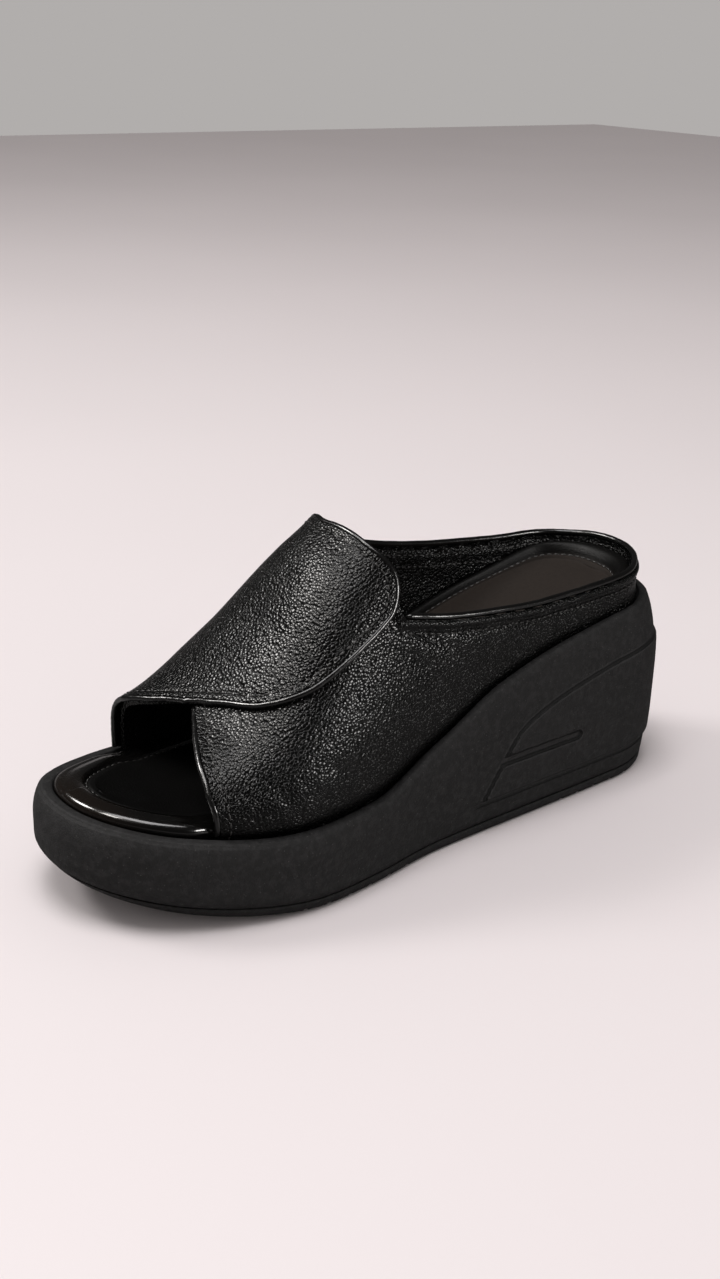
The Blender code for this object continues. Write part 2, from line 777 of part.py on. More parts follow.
def flap_place(way, over, lead):
    """Station and turn of a point of the flap: way runs toe to throat, over runs from the outer
    edge across the crown to just above the rim on the inner side."""
    start = float(follow(FLAP_EDGE, "angle", way))
    foot_station = FOOT_TOE_INNER + (FOOT_THROAT_INNER - FOOT_TOE_INNER) * way
    rim = float(rim_height(foot_station)) + SEAT_GAP
    end = math.pi - float(angle_at(1, foot_station, rim))
    turn = start + (end - start) * over
    first = TOE_BELT + (float(collar_angle(-1, EDGES[0].throat)) - TOE_BELT) * way
    last = TOE_BELT + (float(collar_angle(1, EDGES[-1].throat)) - TOE_BELT) * way
    across = (turn - first) / (math.pi - last - first)
    if across > 1:
        part = (turn - (math.pi - last)) / last
        toe = EDGES[-1].toe + (FOOT_TOE_INNER - EDGES[-1].toe) * part
        throat = EDGES[-1].throat + (FOOT_THROAT_INNER - EDGES[-1].throat) * part
    else:
        toe = float(follow(EDGES, "toe", across))
        throat = float(follow(EDGES, "throat", across))
    toe, throat = toe + lead / LENGTH, throat - lead / LENGTH
    return toe + (throat - toe) * way, turn


FLAP_COLUMNS = 14
FLAP_ROWS = 18
PIPING_STEPS = 22
PIPING_END = 0.53


def build_flap(kit):
    """The flap: it comes up the inner side and wraps over the instep to the outer side."""
    grid = flap_grid(FLAP_COLUMNS, FLAP_ROWS, FLAP_LEAD, FLAP_GAP + FLAP_WALL)
    flap = make_sheet("vamp_flap", [grid])
    face_outwards(flap, Vector((0, 0, PLATFORM_HEIGHT * MM)))
    thicken(flap, FLAP_WALL)
    return kit.add(flap, "leather")


def edge_path(rims, insides, drop, radius):
    """Centres of a bead that lies along an edge, clear of it. Rims are the edge's points, and
    insides are points of the same surface just behind them; drop sinks the bead into the
    wall's thickness."""
    rims, insides = np.array(rims), np.array(insides)
    along = np.gradient(rims, axis=0)
    along = along / np.linalg.norm(along, axis=1, keepdims=True)
    away = rims - insides
    away = away - (away * along).sum(1, keepdims=True) * along
    away = away / np.linalg.norm(away, axis=1, keepdims=True)
    normal = np.cross(along, away)
    centre = np.array([0.0, 0.0, PLATFORM_HEIGHT])
    if (normal * (rims - centre)).sum() < 0:
        normal = -normal
    return rims + away * (radius + GAP) - normal * drop


def bead(name, path, radius):
    """A closed round bead along a path: a curve with filled caps, made a mesh and welded."""
    curve = bpy.data.curves.new(name + "_curve", "CURVE")
    curve.dimensions = "3D"
    curve.bevel_depth = radius * MM
    curve.bevel_resolution = 1
    curve.use_fill_caps = True
    spline = curve.splines.new("POLY")
    spline.points.add(len(path) - 1)
    for point, place in zip(spline.points, path):
        point.co = (*(np.array(place) * MM), 1.0)
    guide = bpy.data.objects.new(name + "_guide", curve)
    bpy.context.scene.collection.objects.link(guide)
    bpy.context.view_layer.update()
    graph = bpy.context.evaluated_depsgraph_get()
    mesh = bpy.data.meshes.new_from_object(guide.evaluated_get(graph))
    bpy.data.objects.remove(guide, do_unlink=True)
    shell = bmesh.new()
    shell.from_mesh(mesh)
    bmesh.ops.remove_doubles(shell, verts=shell.verts, dist=1e-6)
    bmesh.ops.recalc_face_normals(shell, faces=shell.faces)
    shell.to_mesh(mesh)
    shell.free()
    mesh.materials.clear()
    return bpy.data.objects.new(name, mesh)


def build_topline_binding(kit):
    """The piping along the collar, from the flap round the heel to the inner side."""
    rims, insides = [], []
    reach = math.acos(1 - 2 * PIPING_END)
    for side, turns in (
        (-1, np.linspace(reach, 0, PIPING_STEPS)),
        (1, np.linspace(0, reach, PIPING_STEPS)[1:]),
    ):
        station = (1 - np.cos(turns)) / 2
        angle = collar_angle(side, station)
        rims += list(last_point(side, station, angle))
        insides += list(last_point(side, station, angle - 0.05))
    radius = PIPING / 2
    path = edge_path(rims, insides, WALL / 2, radius)
    return kit.add(bead("topline_binding", path, radius), "piping")


def build_toe_binding(kit, vamp):
    """The piping up the quarter's front edge, from the sole to the flap."""
    under_flap = (FLAP_EDGE[0].angle - TOE_BELT) / (math.pi - 2 * TOE_BELT)
    rows = range(1, len(BELT_ROWS) + 1 + round(under_flap * CROWN_ROWS) - 1)
    radius = PIPING / 2
    path = edge_path([vamp[0][r] for r in rows], [vamp[1][r] for r in rows], WALL / 2, radius)
    return kit.add(bead("toe_binding", path, radius), "piping")


def build_flap_binding(kit):
    """The piping round the flap's free edges, from its foot at the toe, over the crown, along
    the outer side, and back over the throat to its foot behind."""
    radius = FLAP_PIPING / 2
    grid = flap_grid(FLAP_COLUMNS, FLAP_ROWS, FLAP_LEAD, FLAP_GAP + FLAP_WALL)
    last = FLAP_COLUMNS
    front = [(0, row, 1, row) for row in range(FLAP_ROWS - 1, 0, -1)]
    outer = [(column, 0, column, 1) for column in range(1, last)]
    back = [(last, row, last - 1, row) for row in range(1, FLAP_ROWS)]
    stops = front + [(0, 0, 1, 1)] + outer + [(last, 0, last - 1, 1)] + back
    rims = [grid[c][r] for c, r, _, _ in stops]
    insides = [grid[c][r] for _, _, c, r in stops]
    path = edge_path(rims, insides, FLAP_WALL / 2, radius)
    return kit.add(bead("flap_binding", path, radius), "piping")


class Kit:
    """Collections and materials: the sandal's parts in one collection, the tools in another."""

    FINISHES = {
        "sole": ((0.020, 0.020, 0.021), 0.62),
        "outsole": ((0.018, 0.018, 0.019), 0.70),
        "insole": ((0.014, 0.013, 0.012), 0.34),
        "leather": ((0.012, 0.012, 0.012), 0.40),
        "piping": ((0.012, 0.012, 0.012), 0.30),
    }

    def __init__(self):
        self.parts = bpy.data.collections.new("wedge_slide_sandal")
        self.tools = bpy.data.collections.new("cutters")
        for collection in (self.parts, self.tools):
            bpy.context.scene.collection.children.link(collection)
        self.materials = {}
        for name, (colour, roughness) in self.FINISHES.items():
            material = bpy.data.materials.new(name)
            material.use_nodes = True
            shader = material.node_tree.nodes["Principled BSDF"]
            shader.inputs["Base Color"].default_value = (*colour, 1.0)
            shader.inputs["Roughness"].default_value = roughness
            shader.inputs["Metallic"].default_value = 0.0
            self.materials[name] = material

    def add(self, obj, finish):
        """Puts an object among the parts with its material."""
        self.parts.objects.link(obj)
        obj.data.materials.append(self.materials[finish])
        return obj

    def add_tool(self, obj):
        """Puts an object among the tools, out of the part."""
        self.tools.objects.link(obj)
        obj.hide_render = True
        obj.display_type = "WIRE"
        return obj


def clear_scene():
    """Removes what the scene holds."""
    for obj in list(bpy.data.objects):
        bpy.data.objects.remove(obj, do_unlink=True)


def main():
    clear_scene()
    kit = Kit()
    build_outsole(kit)
    build_wedge(kit)
    build_insole(kit)
    vamp, quarter = upper_patches()
    build_upper(kit, vamp, quarter)
    build_flap(kit)
    build_topline_binding(kit)
    build_toe_binding(kit, vamp)
    build_flap_binding(kit)


main()
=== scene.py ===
# %% [markdown]
# # Dressing a wedge slide
# The solids of a left wedge slide arrive from the part's own frame: outsole, wedge, insole,
# upper, flap and piping. This lesson replaces each of them with a fine surface of the same
# form, and then gives it stitches, grain and light. Sizes are in millimetres until a mesh is
# made, because that is how a shoemaker thinks.

# %% Load the frame
import math
from collections import namedtuple

import bmesh
import bpy
import numpy as np
from mathutils import Matrix, Vector
from mathutils.kdtree import KDTree


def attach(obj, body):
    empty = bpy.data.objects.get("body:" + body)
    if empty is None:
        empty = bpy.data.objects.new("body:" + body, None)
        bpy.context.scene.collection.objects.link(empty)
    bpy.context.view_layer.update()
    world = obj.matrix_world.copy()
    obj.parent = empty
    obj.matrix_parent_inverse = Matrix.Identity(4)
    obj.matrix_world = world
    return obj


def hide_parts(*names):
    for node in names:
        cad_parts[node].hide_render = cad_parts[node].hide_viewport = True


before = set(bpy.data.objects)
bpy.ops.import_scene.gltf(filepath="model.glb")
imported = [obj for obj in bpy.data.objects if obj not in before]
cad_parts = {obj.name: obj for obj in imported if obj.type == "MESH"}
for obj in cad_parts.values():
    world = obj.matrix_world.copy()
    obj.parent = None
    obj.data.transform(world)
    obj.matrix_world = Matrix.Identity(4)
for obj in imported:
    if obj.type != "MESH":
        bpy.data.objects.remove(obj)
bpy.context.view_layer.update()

MM = 0.001

# %% [markdown]
# ## The shoe's sizes
# These are the same driving sizes that shaped the solids. The fine surfaces are worked out from
# them again with many more sections, so they lie on the solids instead of being fitted by eye.

# %% Driving sizes
LENGTH = 255.0
BALL_WIDTH = 96.0
HEEL_HEIGHT = 69.0
PLATFORM_HEIGHT = 28.0
TOE_SPRING = 12.0
TOE_SPRING_START = 0.66
HEEL_ROUND = 38.0
TOE_ROUND = 88.0
HEEL_SQUARENESS = 2.1
TOE_SQUARENESS = 2.2
HEEL_BEVEL = 2.0
HEEL_BEVEL_LENGTH = 10.0
RIM_DRAW = 8.0
FOOT_DRAW = 8.0
WALL_TOP_SHARE = 0.5
WALL_FOOT_SHARE = 0.35
OUTSOLE_THICKNESS = 4.0
LIP_WIDTH = 4.0
LIP_RADIUS = 1.4
RECESS_DEPTH = 2.0
PANEL_RELIEF = 1.0
PANEL_FADE = (0.46, 0.64)
BAND_HEIGHT = 11.5
BAND_GROOVE_HEIGHT = 2.0
WALL = 2.0
FLAP_WALL = 1.8
GAP = 0.3
SEAT_GAP = 0.8
FLAP_GAP = 0.5
HEEL_RISE = 12.0
COLLAR_RISE = 14.0
INSTEP_HEIGHT = 82.0
FULLNESS_DEPTH = 3.0
FULLNESS_HEIGHT = 45.0
FULLNESS_CURVE = 0.6
HEEL_CENTRE = 34.0
PIPING = 2.2
FLAP_PIPING = 1.8
RIDGE_SHIFT = 3.5
FLAP_LEAD = 0.6
SIDE_NAMES = {-1: "outer", 1: "inner"}
print("length to width:", round(LENGTH / BALL_WIDTH, 2))

# %% Tables of sections, heel to toe
def table(columns, *rows):
    """Rows whose values have the columns' names."""
    row_kind = namedtuple("Row", columns)
    return [row_kind(*row) for row in rows]


SOLE = table(
    "station centre half rise lift top_in foot_in",
    (0.00, 0.000, 0.353, 1.045, 0.00, 0.80, 0.22),
    (0.05, 0.000, 0.354, 1.025, 0.00, 0.62, 0.19),
    (0.12, 0.000, 0.357, 1.002, 0.00, 0.36, 0.15),
    (0.25, -0.005, 0.372, 0.902, 0.00, 0.22, 0.15),
    (0.38, -0.018, 0.378, 0.695, 0.00, 0.19, 0.15),
    (0.50, -0.023, 0.393, 0.317, 0.00, 0.19, 0.15),
    (0.62, -0.017, 0.448, 0.030, 0.00, 0.19, 0.18),
    (0.75, -0.001, 0.498, 0.000, 0.03, 0.22, 0.28),
    (0.88, 0.010, 0.490, 0.000, 0.34, 0.25, 0.52),
    (1.00, 0.036, 0.487, 0.000, 0.86, 0.35, 1.00),
)
BED = table(
    "station outer inner bed",
    (0.00, 1.00, 1.00, 0.62),
    (0.12, 0.87, 0.87, 0.50),
    (0.25, 0.42, 0.46, 0.23),
    (0.38, 0.27, 0.33, 0.12),
    (0.50, 0.25, 0.25, 0.12),
    (0.62, 0.27, 0.18, 0.17),
    (0.75, 0.30, 0.12, 0.18),
    (0.88, 0.32, 0.12, 0.19),
    (1.00, 0.25, 0.25, 0.17),
)
LAST = table(
    "station crown shift outer_box inner_box outer_full inner_full",
    (0.00, 0.92, 0.00, 2.35, 2.35, -0.50, -0.50),
    (0.20, 0.97, 0.29, 2.35, 2.35, 0.20, 0.10),
    (0.40, 1.01, 0.86, 2.35, 2.30, 0.55, 0.45),
    (0.50, 1.045, 0.97, 2.35, 2.25, 0.80, 0.50),
    (0.60, 0.94, 1.00, 2.35, 2.25, 1.00, 0.25),
    (0.70, 0.625, 0.97, 2.35, 2.60, 1.00, -0.10),
    (0.80, 0.345, 0.97, 2.45, 3.80, 0.90, -0.15),
    (0.88, 0.24, 0.91, 2.60, 4.60, 0.80, -0.10),
)

# %% Tables of the upper's edges
COLLAR = table(
    "station outer inner",
    (0.00, 0.99, 0.99),
    (0.07, 0.90, 0.91),
    (0.17, 0.81, 0.91),
    (0.30, 0.81, 1.10),
    (0.39, 0.91, 1.38),
    (0.47, 1.04, 1.76),
    (0.55, 1.30, 2.28),
)
EDGES = table(
    "way toe throat",
    (0.00, 0.847, 0.545),
    (0.15, 0.838, 0.554),
    (0.30, 0.819, 0.571),
    (0.42, 0.799, 0.578),
    (0.50, 0.787, 0.581),
    (0.60, 0.796, 0.583),
    (0.75, 0.819, 0.575),
    (0.87, 0.832, 0.563),
    (1.00, 0.834, 0.548),
)
SIDE_EDGES = {-1: EDGES[0], 1: EDGES[-1]}
FOOT_TOE = {-1: 0.845, 1: 0.831}
FOOT_THROAT = {-1: 0.572, 1: 0.522}
TOE_BELT = 0.63
FLAP_EDGE = table(
    "way angle",
    (0.00, 1.60),
    (0.10, 1.445),
    (0.20, 1.285),
    (0.34, 1.035),
    (0.47, 0.88),
    (0.61, 0.78),
    (0.75, 0.738),
    (0.88, 0.732),
    (1.00, 0.735),
)
FLAP_CORNER_ALONG = 0.08
FLAP_CORNER_UP = 0.065
PANEL_ARC = table(
    "station height",
    (-0.03, 0.772),
    (0.08, 0.772),
    (0.15, 0.750),
    (0.22, 0.704),
    (0.28, 0.650),
    (0.33, 0.582),
    (0.36, 0.512),
    (0.377, 0.430),
)
PANEL_NOSE = (0.388, 25.6)
PANEL_FOOT = 0.421
SLOT = ((0.238, 27.0), (0.400, 27.2))
SLOT_RADIUS = 1.45
print("tables:", len(SOLE), "sole sections,", len(LAST), "last sections")

# %% [markdown]
# ## Reading a table smoothly
# A section table has only a few rows, so a smooth curve has to run between them. A cubic whose
# slopes come from the neighbours, and are flat at a peak, never swings past a row. A plain
# Catmull-Rom curve would, and would show as a wave in the sole's rim.


# %% Curves through a table
def lerp(start, end, share):
    """The value at a share of the way from start to end."""
    return start + (end - start) * share


def cubic(t, step, ends, slopes):
    """A cubic over one step, from its two ends and the slopes there."""
    rest = 1 - t
    return (
        ends[0] * (1 + 2 * t) * rest**2
        + slopes[0] * step * t * rest**2
        + ends[1] * (3 - 2 * t) * t**2
        - slopes[1] * step * rest * t**2
    )


def follow(rows, column, share):
    """A column of a table as a smooth curve through its rows, with no overshoot."""
    x = np.array([row[0] for row in rows])
    y = np.array([getattr(row, column) for row in rows])
    step = np.diff(x)
    slope = np.diff(y) / step
    tangent = np.zeros(len(x))
    for i in range(1, len(x) - 1):
        if slope[i - 1] * slope[i] > 0:
            before, after = 2 * step[i] + step[i - 1], step[i] + 2 * step[i - 1]
            tangent[i] = (before + after) / (before / slope[i - 1] + after / slope[i])
    tangent[0], tangent[-1] = slope[0], slope[-1]
    at = np.clip(np.asarray(share, float), x[0], x[-1])
    k = np.clip(np.searchsorted(x, at) - 1, 0, len(step) - 1)
    pair = np.stack([k, k + 1])
    return cubic((at - x[k]) / step[k], step[k], y[pair], tangent[pair])


def ease(low, high, x):
    """0 below low, 1 above high, and a smooth step between."""
    t = np.clip((np.asarray(x, float) - low) / (high - low), 0, 1)
    return t * t * (3 - 2 * t)


def bell(distance, width):
    """1 on a line, falling softly to 0 a few widths away from it."""
    return np.exp(-((distance / width) ** 2))


print("rim above the platform at mid length:", round(float(follow(SOLE, "rise", 0.5)), 3))


# %% The sole's plan and heights
def raw_outline(station):
    """Outer and inner edge of the plan at a station, in shares of the width."""

    def cap(distance, radius, squareness):
        near = np.clip(distance / radius, 0, 1)
        return (1 - (1 - near) ** squareness) ** (1 / squareness)

    width = follow(SOLE, "half", station) * cap(station * LENGTH, HEEL_ROUND, HEEL_SQUARENESS)
    width = width * cap((1 - station) * LENGTH, TOE_ROUND, TOE_SQUARENESS)
    middle = follow(SOLE, "centre", station)
    return middle - width, middle + width


scan = raw_outline(np.linspace(0, 1, 801))
PLAN_SCALE = BALL_WIDTH / (scan[1].max() - scan[0].min())
PLAN_SHIFT = (scan[1].max() + scan[0].min()) / 2


def station_of(turn):
    """Turn runs from 0 at the heel to pi at the toe, so that even turns crowd at both ends."""
    return (1 - np.cos(turn)) / 2


def outline_point(side, turn):
    """A point of the plan's edge."""
    station = station_of(turn)
    edge = raw_outline(station)[0 if side < 0 else 1]
    return np.stack([(edge - PLAN_SHIFT) * PLAN_SCALE, (station - 0.5) * LENGTH], -1)


def inset_point(side, station, inset):
    """The plan's edge at a station, moved inwards at right angles to it."""
    turn = np.arccos(1 - 2 * np.clip(station, 0, 1))
    back = outline_point(side, np.maximum(turn - 0.002, 0))
    ahead = outline_point(side, np.minimum(turn + 0.002, math.pi))
    along = ahead - back
    along = along / np.linalg.norm(along, axis=-1, keepdims=True)
    inward = np.stack([-side * along[..., 1], side * along[..., 0]], -1)
    return outline_point(side, turn) + inward * np.asarray(inset)[..., None]


def share_along(point):
    """The share of LENGTH at which a point lies."""
    return point[..., 1] / LENGTH + 0.5


def rim_height(station):
    """Height of the sole's rim above the floor."""
    lift = (HEEL_HEIGHT - PLATFORM_HEIGHT) * follow(SOLE, "rise", station)
    return PLATFORM_HEIGHT + lift + TOE_SPRING * follow(SOLE, "lift", station)


def floor_height(station):
    """Height of the outsole's underside."""
    ahead = np.clip((station - TOE_SPRING_START) / (1 - TOE_SPRING_START), 0, 1)
    behind = np.clip(1 - station * LENGTH / HEEL_BEVEL_LENGTH, 0, 1)
    return TOE_SPRING * ahead**2 + HEEL_BEVEL * behind**2


def rim_inset(station):
    """How far the rim is drawn in from the plan's edge."""
    return RIM_DRAW * follow(SOLE, "top_in", station)


def wall_inset(station, height):
    """How far the sole's wall is drawn in from the plan's edge at a height."""
    low, high = floor_height(station), rim_height(station)
    share = (height - low) / (high - low)
    top = np.clip((share - WALL_TOP_SHARE) / (1 - WALL_TOP_SHARE), 0, 1) ** 3
    foot = np.clip((WALL_FOOT_SHARE - share) / WALL_FOOT_SHARE, 0, 1) ** 2
    return rim_inset(station) * top + FOOT_DRAW * follow(SOLE, "foot_in", station) * foot


def panel_relief(station):
    """How much further in the wall lies behind the heel panel."""
    return PANEL_RELIEF * (1 - ease(*PANEL_FADE, station))


def recess_inset(station):
    """Inset of the recess that holds the upper and the insole."""
    return rim_inset(station) + LIP_WIDTH


print("ball width in mm:", round(float(scan[1].max() - scan[0].min()) * PLAN_SCALE, 1))

# %% [markdown]
# ## Meshes from grids
# A sole is a stack of closed rings, and leather is a sheet: both are grids of points. Writing
# the grid as one array keeps the script short and quick, where moving vertices one at a time in
# bmesh would take minutes at this fineness.

# %% Mesh helpers
RING_STEPS = 210


def ring_stations(steps=RING_STEPS):
    """Stations from heel to toe, closer together at the rounded ends."""
    return station_of(np.linspace(0, math.pi, steps + 1))


def ring(inset, height):
    """One closed course round the plan: the outer side toe to heel, then the inner side back.
    Inset and height are functions of the share of LENGTH; height also takes the side."""
    stations = ring_stations()
    sides = []
    for side in SIDE_NAMES:
        plan = inset_point(side, stations, inset(stations))
        sides.append(np.column_stack([plan, height(share_along(plan), side)]))
    return np.vstack([sides[0][::-1], sides[1][1:-1]])


def wall_ring(height, extra):
    """A course on the sole's wall, drawn in by a little extra."""
    return ring(lambda at: wall_inset(at, height(at, 0)) + panel_relief(at) + extra, height)


def add_object(name, data):
    """A new object in the scene."""
    piece = bpy.data.objects.new(name, data)
    bpy.context.scene.collection.objects.link(piece)
    return piece


def clean(mesh, doubles):
    """Merges points closer than doubles, turns the faces outwards and shades them smooth."""
    shell = bmesh.new()
    shell.from_mesh(mesh)
    bmesh.ops.remove_doubles(shell, verts=shell.verts, dist=doubles)
    bmesh.ops.recalc_face_normals(shell, faces=shell.faces)
    shell.to_mesh(mesh)
    shell.free()
    mesh.shade_smooth()


def mesh_piece(name, points, faces, materials=(), attributes=None):
    """A smooth mesh object from points in mm, with one value per point in its attributes."""
    mesh = bpy.data.meshes.new(name)
    mesh.from_pydata((np.asarray(points) * MM).tolist(), [], faces)
    for key, values in (attributes or {}).items():
        layer = mesh.attributes.new(key, "FLOAT", "POINT")
        layer.data.foreach_set("value", np.asarray(values, np.float32))
    clean(mesh, 2e-6)
    for material in materials:
        mesh.materials.append(material)
    return add_object(name, mesh)


def ladder_faces(start, count):
    """Faces across a course, from its outer side to its inner side."""
    faces = []
    for i in range(count // 2):
        corners = (start + i, start + i + 1)
        corners += (start + (count - i - 1) % count, start + (count - i) % count)
        faces.append(tuple(dict.fromkeys(corners)))
    return faces


def stack_faces(rows, closed=True):
    """Quads between the courses of a stack, and faces across its first and last course."""
    count = len(rows[0])
    top = (len(rows) - 1) * count
    faces = []
    for low in range(0, top, count):
        for i in range(count):
            j = (i + 1) % count
            faces.append((low + i, low + j, low + count + j, low + count + i))
    return faces + ladder_faces(0, count) + (ladder_faces(top, count) if closed else [])


def sheet_faces(start, columns, rows):
    """Quads of a sheet whose points are stored column by column."""
    faces = []
    for column in range(columns - 1):
        for corner in range(start + column * rows, start + (column + 1) * rows - 1):
            faces.append((corner, corner + rows, corner + rows + 1, corner + 1))
    return faces


def evaluated_mesh(piece):
    """A mesh of the piece as its modifiers make it."""
    bpy.context.view_layer.update()
    graph = bpy.context.evaluated_depsgraph_get()
    return bpy.data.meshes.new_from_object(piece.evaluated_get(graph))


def settle(piece, sharp=None):
    """Works the modifiers into the piece's mesh, with sharp edges above an angle in degrees."""
    mesh = evaluated_mesh(piece)
    piece.modifiers.clear()
    piece.data = mesh
    if sharp:
        mesh.shade_smooth()
        mesh.set_sharp_from_angle(angle=math.radians(sharp))
    return piece


def dress(piece, slot, *nodes):
    """The piece rides with the shoe and may stand for CAD nodes, which it hides. The slot is not
    used.
    """
    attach(piece, "root")
    if nodes:
        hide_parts(*nodes)
    print(piece.name, len(piece.data.polygons), "faces")
    return piece


print("points on one course:", 2 * RING_STEPS)

# %% [markdown]
# ## Writing a material as an expression
# Node trees are easier to read as sums than as link lists. `Wire` wraps one output socket, so
# that `1 - valley * 0.4` adds its Math nodes by itself. `Nodes` makes every other node through
# one method, and `Finish` adds what materials need. The alternative, placing nodes by hand in
# the editor, couldn't be run again.


# %% Node helpers
class Wire:
    """An output socket that can be used in an expression on values."""

    def __init__(self, nodes, socket):
        self.nodes = nodes
        self.socket = socket

    def twin(self, output):
        """Another output of the same node."""
        return Wire(self.nodes, self.socket.node.outputs[output])

    def math(self, operation, first, second=0.0):
        return self.nodes.node("ShaderNodeMath", first, second, operation=operation)

    def __add__(self, other):
        return self.math("ADD", self, other)

    def __sub__(self, other):
        return self.math("SUBTRACT", self, other)

    def __rsub__(self, other):
        return self.math("SUBTRACT", other, self)

    def __mul__(self, other):
        return self.math("MULTIPLY", self, other)

    def __abs__(self):
        return self.math("ABSOLUTE", self)

    __radd__, __rmul__ = __add__, __mul__


class Nodes:
    """A node tree under construction."""

    def __init__(self, tree):
        self.tree = tree

    def node(self, kind, *values, output=0, **named):
        """A node of a type. Values feed its sockets in order; named ones feed the socket of
        that name where it has a capital, and set the node's own option where it has none."""
        node = self.tree.nodes.new(kind)
        for name, value in named.items():
            if name.islower():
                setattr(node, name, value)
            else:
                self.feed(node.inputs[name], value)
        for socket, value in zip(node.inputs, values):
            self.feed(socket, value)
        return Wire(self, node.outputs[output])

    def feed(self, socket, value):
        if isinstance(value, Wire):
            self.tree.links.new(value.socket, socket)
        else:
            socket.default_value = value


class Finish(Nodes):
    """A material under construction, round its Principled shader."""

    def __init__(self, name, colour, roughness, **constants):
        self.material = bpy.data.materials.new(name)
        self.material.use_nodes = True
        super().__init__(self.material.node_tree)
        self.shader = self.tree.nodes["Principled BSDF"]
        self.set("Base Color", (*colour, 1))
        self.set("Roughness", roughness)
        for socket, value in constants.items():
            self.set(socket.replace("_", " "), value)

    def set(self, socket, value):
        self.feed(self.shader.inputs[socket], value)

    def place(self):
        return self.node("ShaderNodeTexCoord", output="Object")

    def attribute(self, name):
        return self.node("ShaderNodeAttribute", attribute_name=name, output="Fac")

    def noise(self, scale, detail=2.0, roughness=0.5, output=0):
        named = {"Scale": scale, "Detail": detail, "Roughness": roughness}
        return self.node("ShaderNodeTexNoise", self.place(), output=output, **named)

    def cells(self, scale, feature="F1", place=None):
        named = {"feature": feature, "Vector": place or self.place(), "Scale": scale}
        return self.node("ShaderNodeTexVoronoi", output="Distance", **named)

    def span(self, value, low, high):
        """A smooth step: 0 where the value is low, 1 where it is high."""
        return self.node("ShaderNodeMapRange", value, low, high, interpolation_type="SMOOTHSTEP")

    def warped(self, scale, amount):
        """Object coordinates pushed about by noise, so that cells don't look drawn."""
        sum_of = (self.noise(scale, output="Color"), (amount,) * 3, self.place())
        return self.node("ShaderNodeVectorMath", *sum_of, operation="MULTIPLY_ADD")

    def mix(self, mask, low, high):
        """A colour between two others."""
        mixed = self.node("ShaderNodeMix", mask, data_type="RGBA", output=2)
        for i, colour in ((6, low), (7, high)):
            colour = colour if isinstance(colour, Wire) else (*colour, 1)
            self.feed(mixed.socket.node.inputs[i], colour)
        return mixed

    def bump(self, height, depth, under=None):
        """Relief of a depth in metres, on top of another relief."""
        named = {"Strength": 1.0, "Distance": depth, "Height": height}
        if under is not None:
            named["Normal"] = under
        return self.node("ShaderNodeBump", **named)


def times(colour, factor):
    """A paler shade of a colour."""
    return tuple(part * factor for part in colour)


# %% [markdown]
# ## Black grained leather
# Full-grain leather is pebbled: round domes about a millimetre across, with fine creases
# between them. A Voronoi texture's distance to each cell's middle gives the domes, and its
# distance to the cell's edge gives the creases, both on warped coordinates. The domes' tops are
# polished and the creases stay dull, which makes leather sparkle in grazing light. An image
# would need UVs and would stretch over the toe.


# %% Leather finishes
def grained_leather(name, colour, pebble, depth, gloss):
    """Pebbled leather: pebble is the cells' size in mm, depth the domes' height in mm."""
    leather = Finish(name, colour, gloss, Coat_Roughness=0.14, Specular_IOR_Level=0.26)
    place = leather.warped(420, 0.0009)
    away = leather.cells(1000 / pebble, "F1", place)
    edge = leather.cells(1000 / pebble, "DISTANCE_TO_EDGE", place)
    domes = 1.0 - away * away * 1.8
    tops = leather.span(edge, 0.0, 0.12)
    folds = leather.noise(260, 3.0, 0.55)
    patches = leather.noise(45, 2.0)
    height = domes * 0.75 + tops * 0.25 + folds * 0.5
    leather.set("Normal", leather.bump(height, depth * MM))
    leather.set("Roughness", gloss + 0.12 - tops * 0.12 + patches * 0.06)
    tint = leather.span(patches, 0.35, 0.7)
    leather.set("Base Color", leather.mix(tint, colour, times(colour, 1.8)))
    return leather.material


def smooth_leather(name, colour, gloss):
    """Tight leather, rolled over a cord or a pad: fine pores and a clear gloss."""
    coat = {"Coat_Weight": 0.3, "Coat_Roughness": 0.10, "Specular_IOR_Level": 0.5}
    leather = Finish(name, colour, gloss, **coat)
    wrinkles = leather.noise(620, 3.0, 0.6)
    pores = leather.cells(1900, "F1")
    leather.set("Normal", leather.bump(wrinkles * 0.8 - pores * 0.3, 0.00010))
    leather.set("Roughness", gloss + leather.noise(120, 2.0) * 0.16 - 0.06)
    return leather.material


black_leather = grained_leather("black leather", (0.0013, 0.0013, 0.0012), 1.1, 0.17, 0.16)
lining_leather = grained_leather("lining leather", (0.0016, 0.0015, 0.0014), 1.1, 0.26, 0.24)
piping_leather = smooth_leather("piping leather", (0.0022, 0.0021, 0.0020), 0.22)
print("leathers:", black_leather.name, lining_leather.name, piping_leather.name)
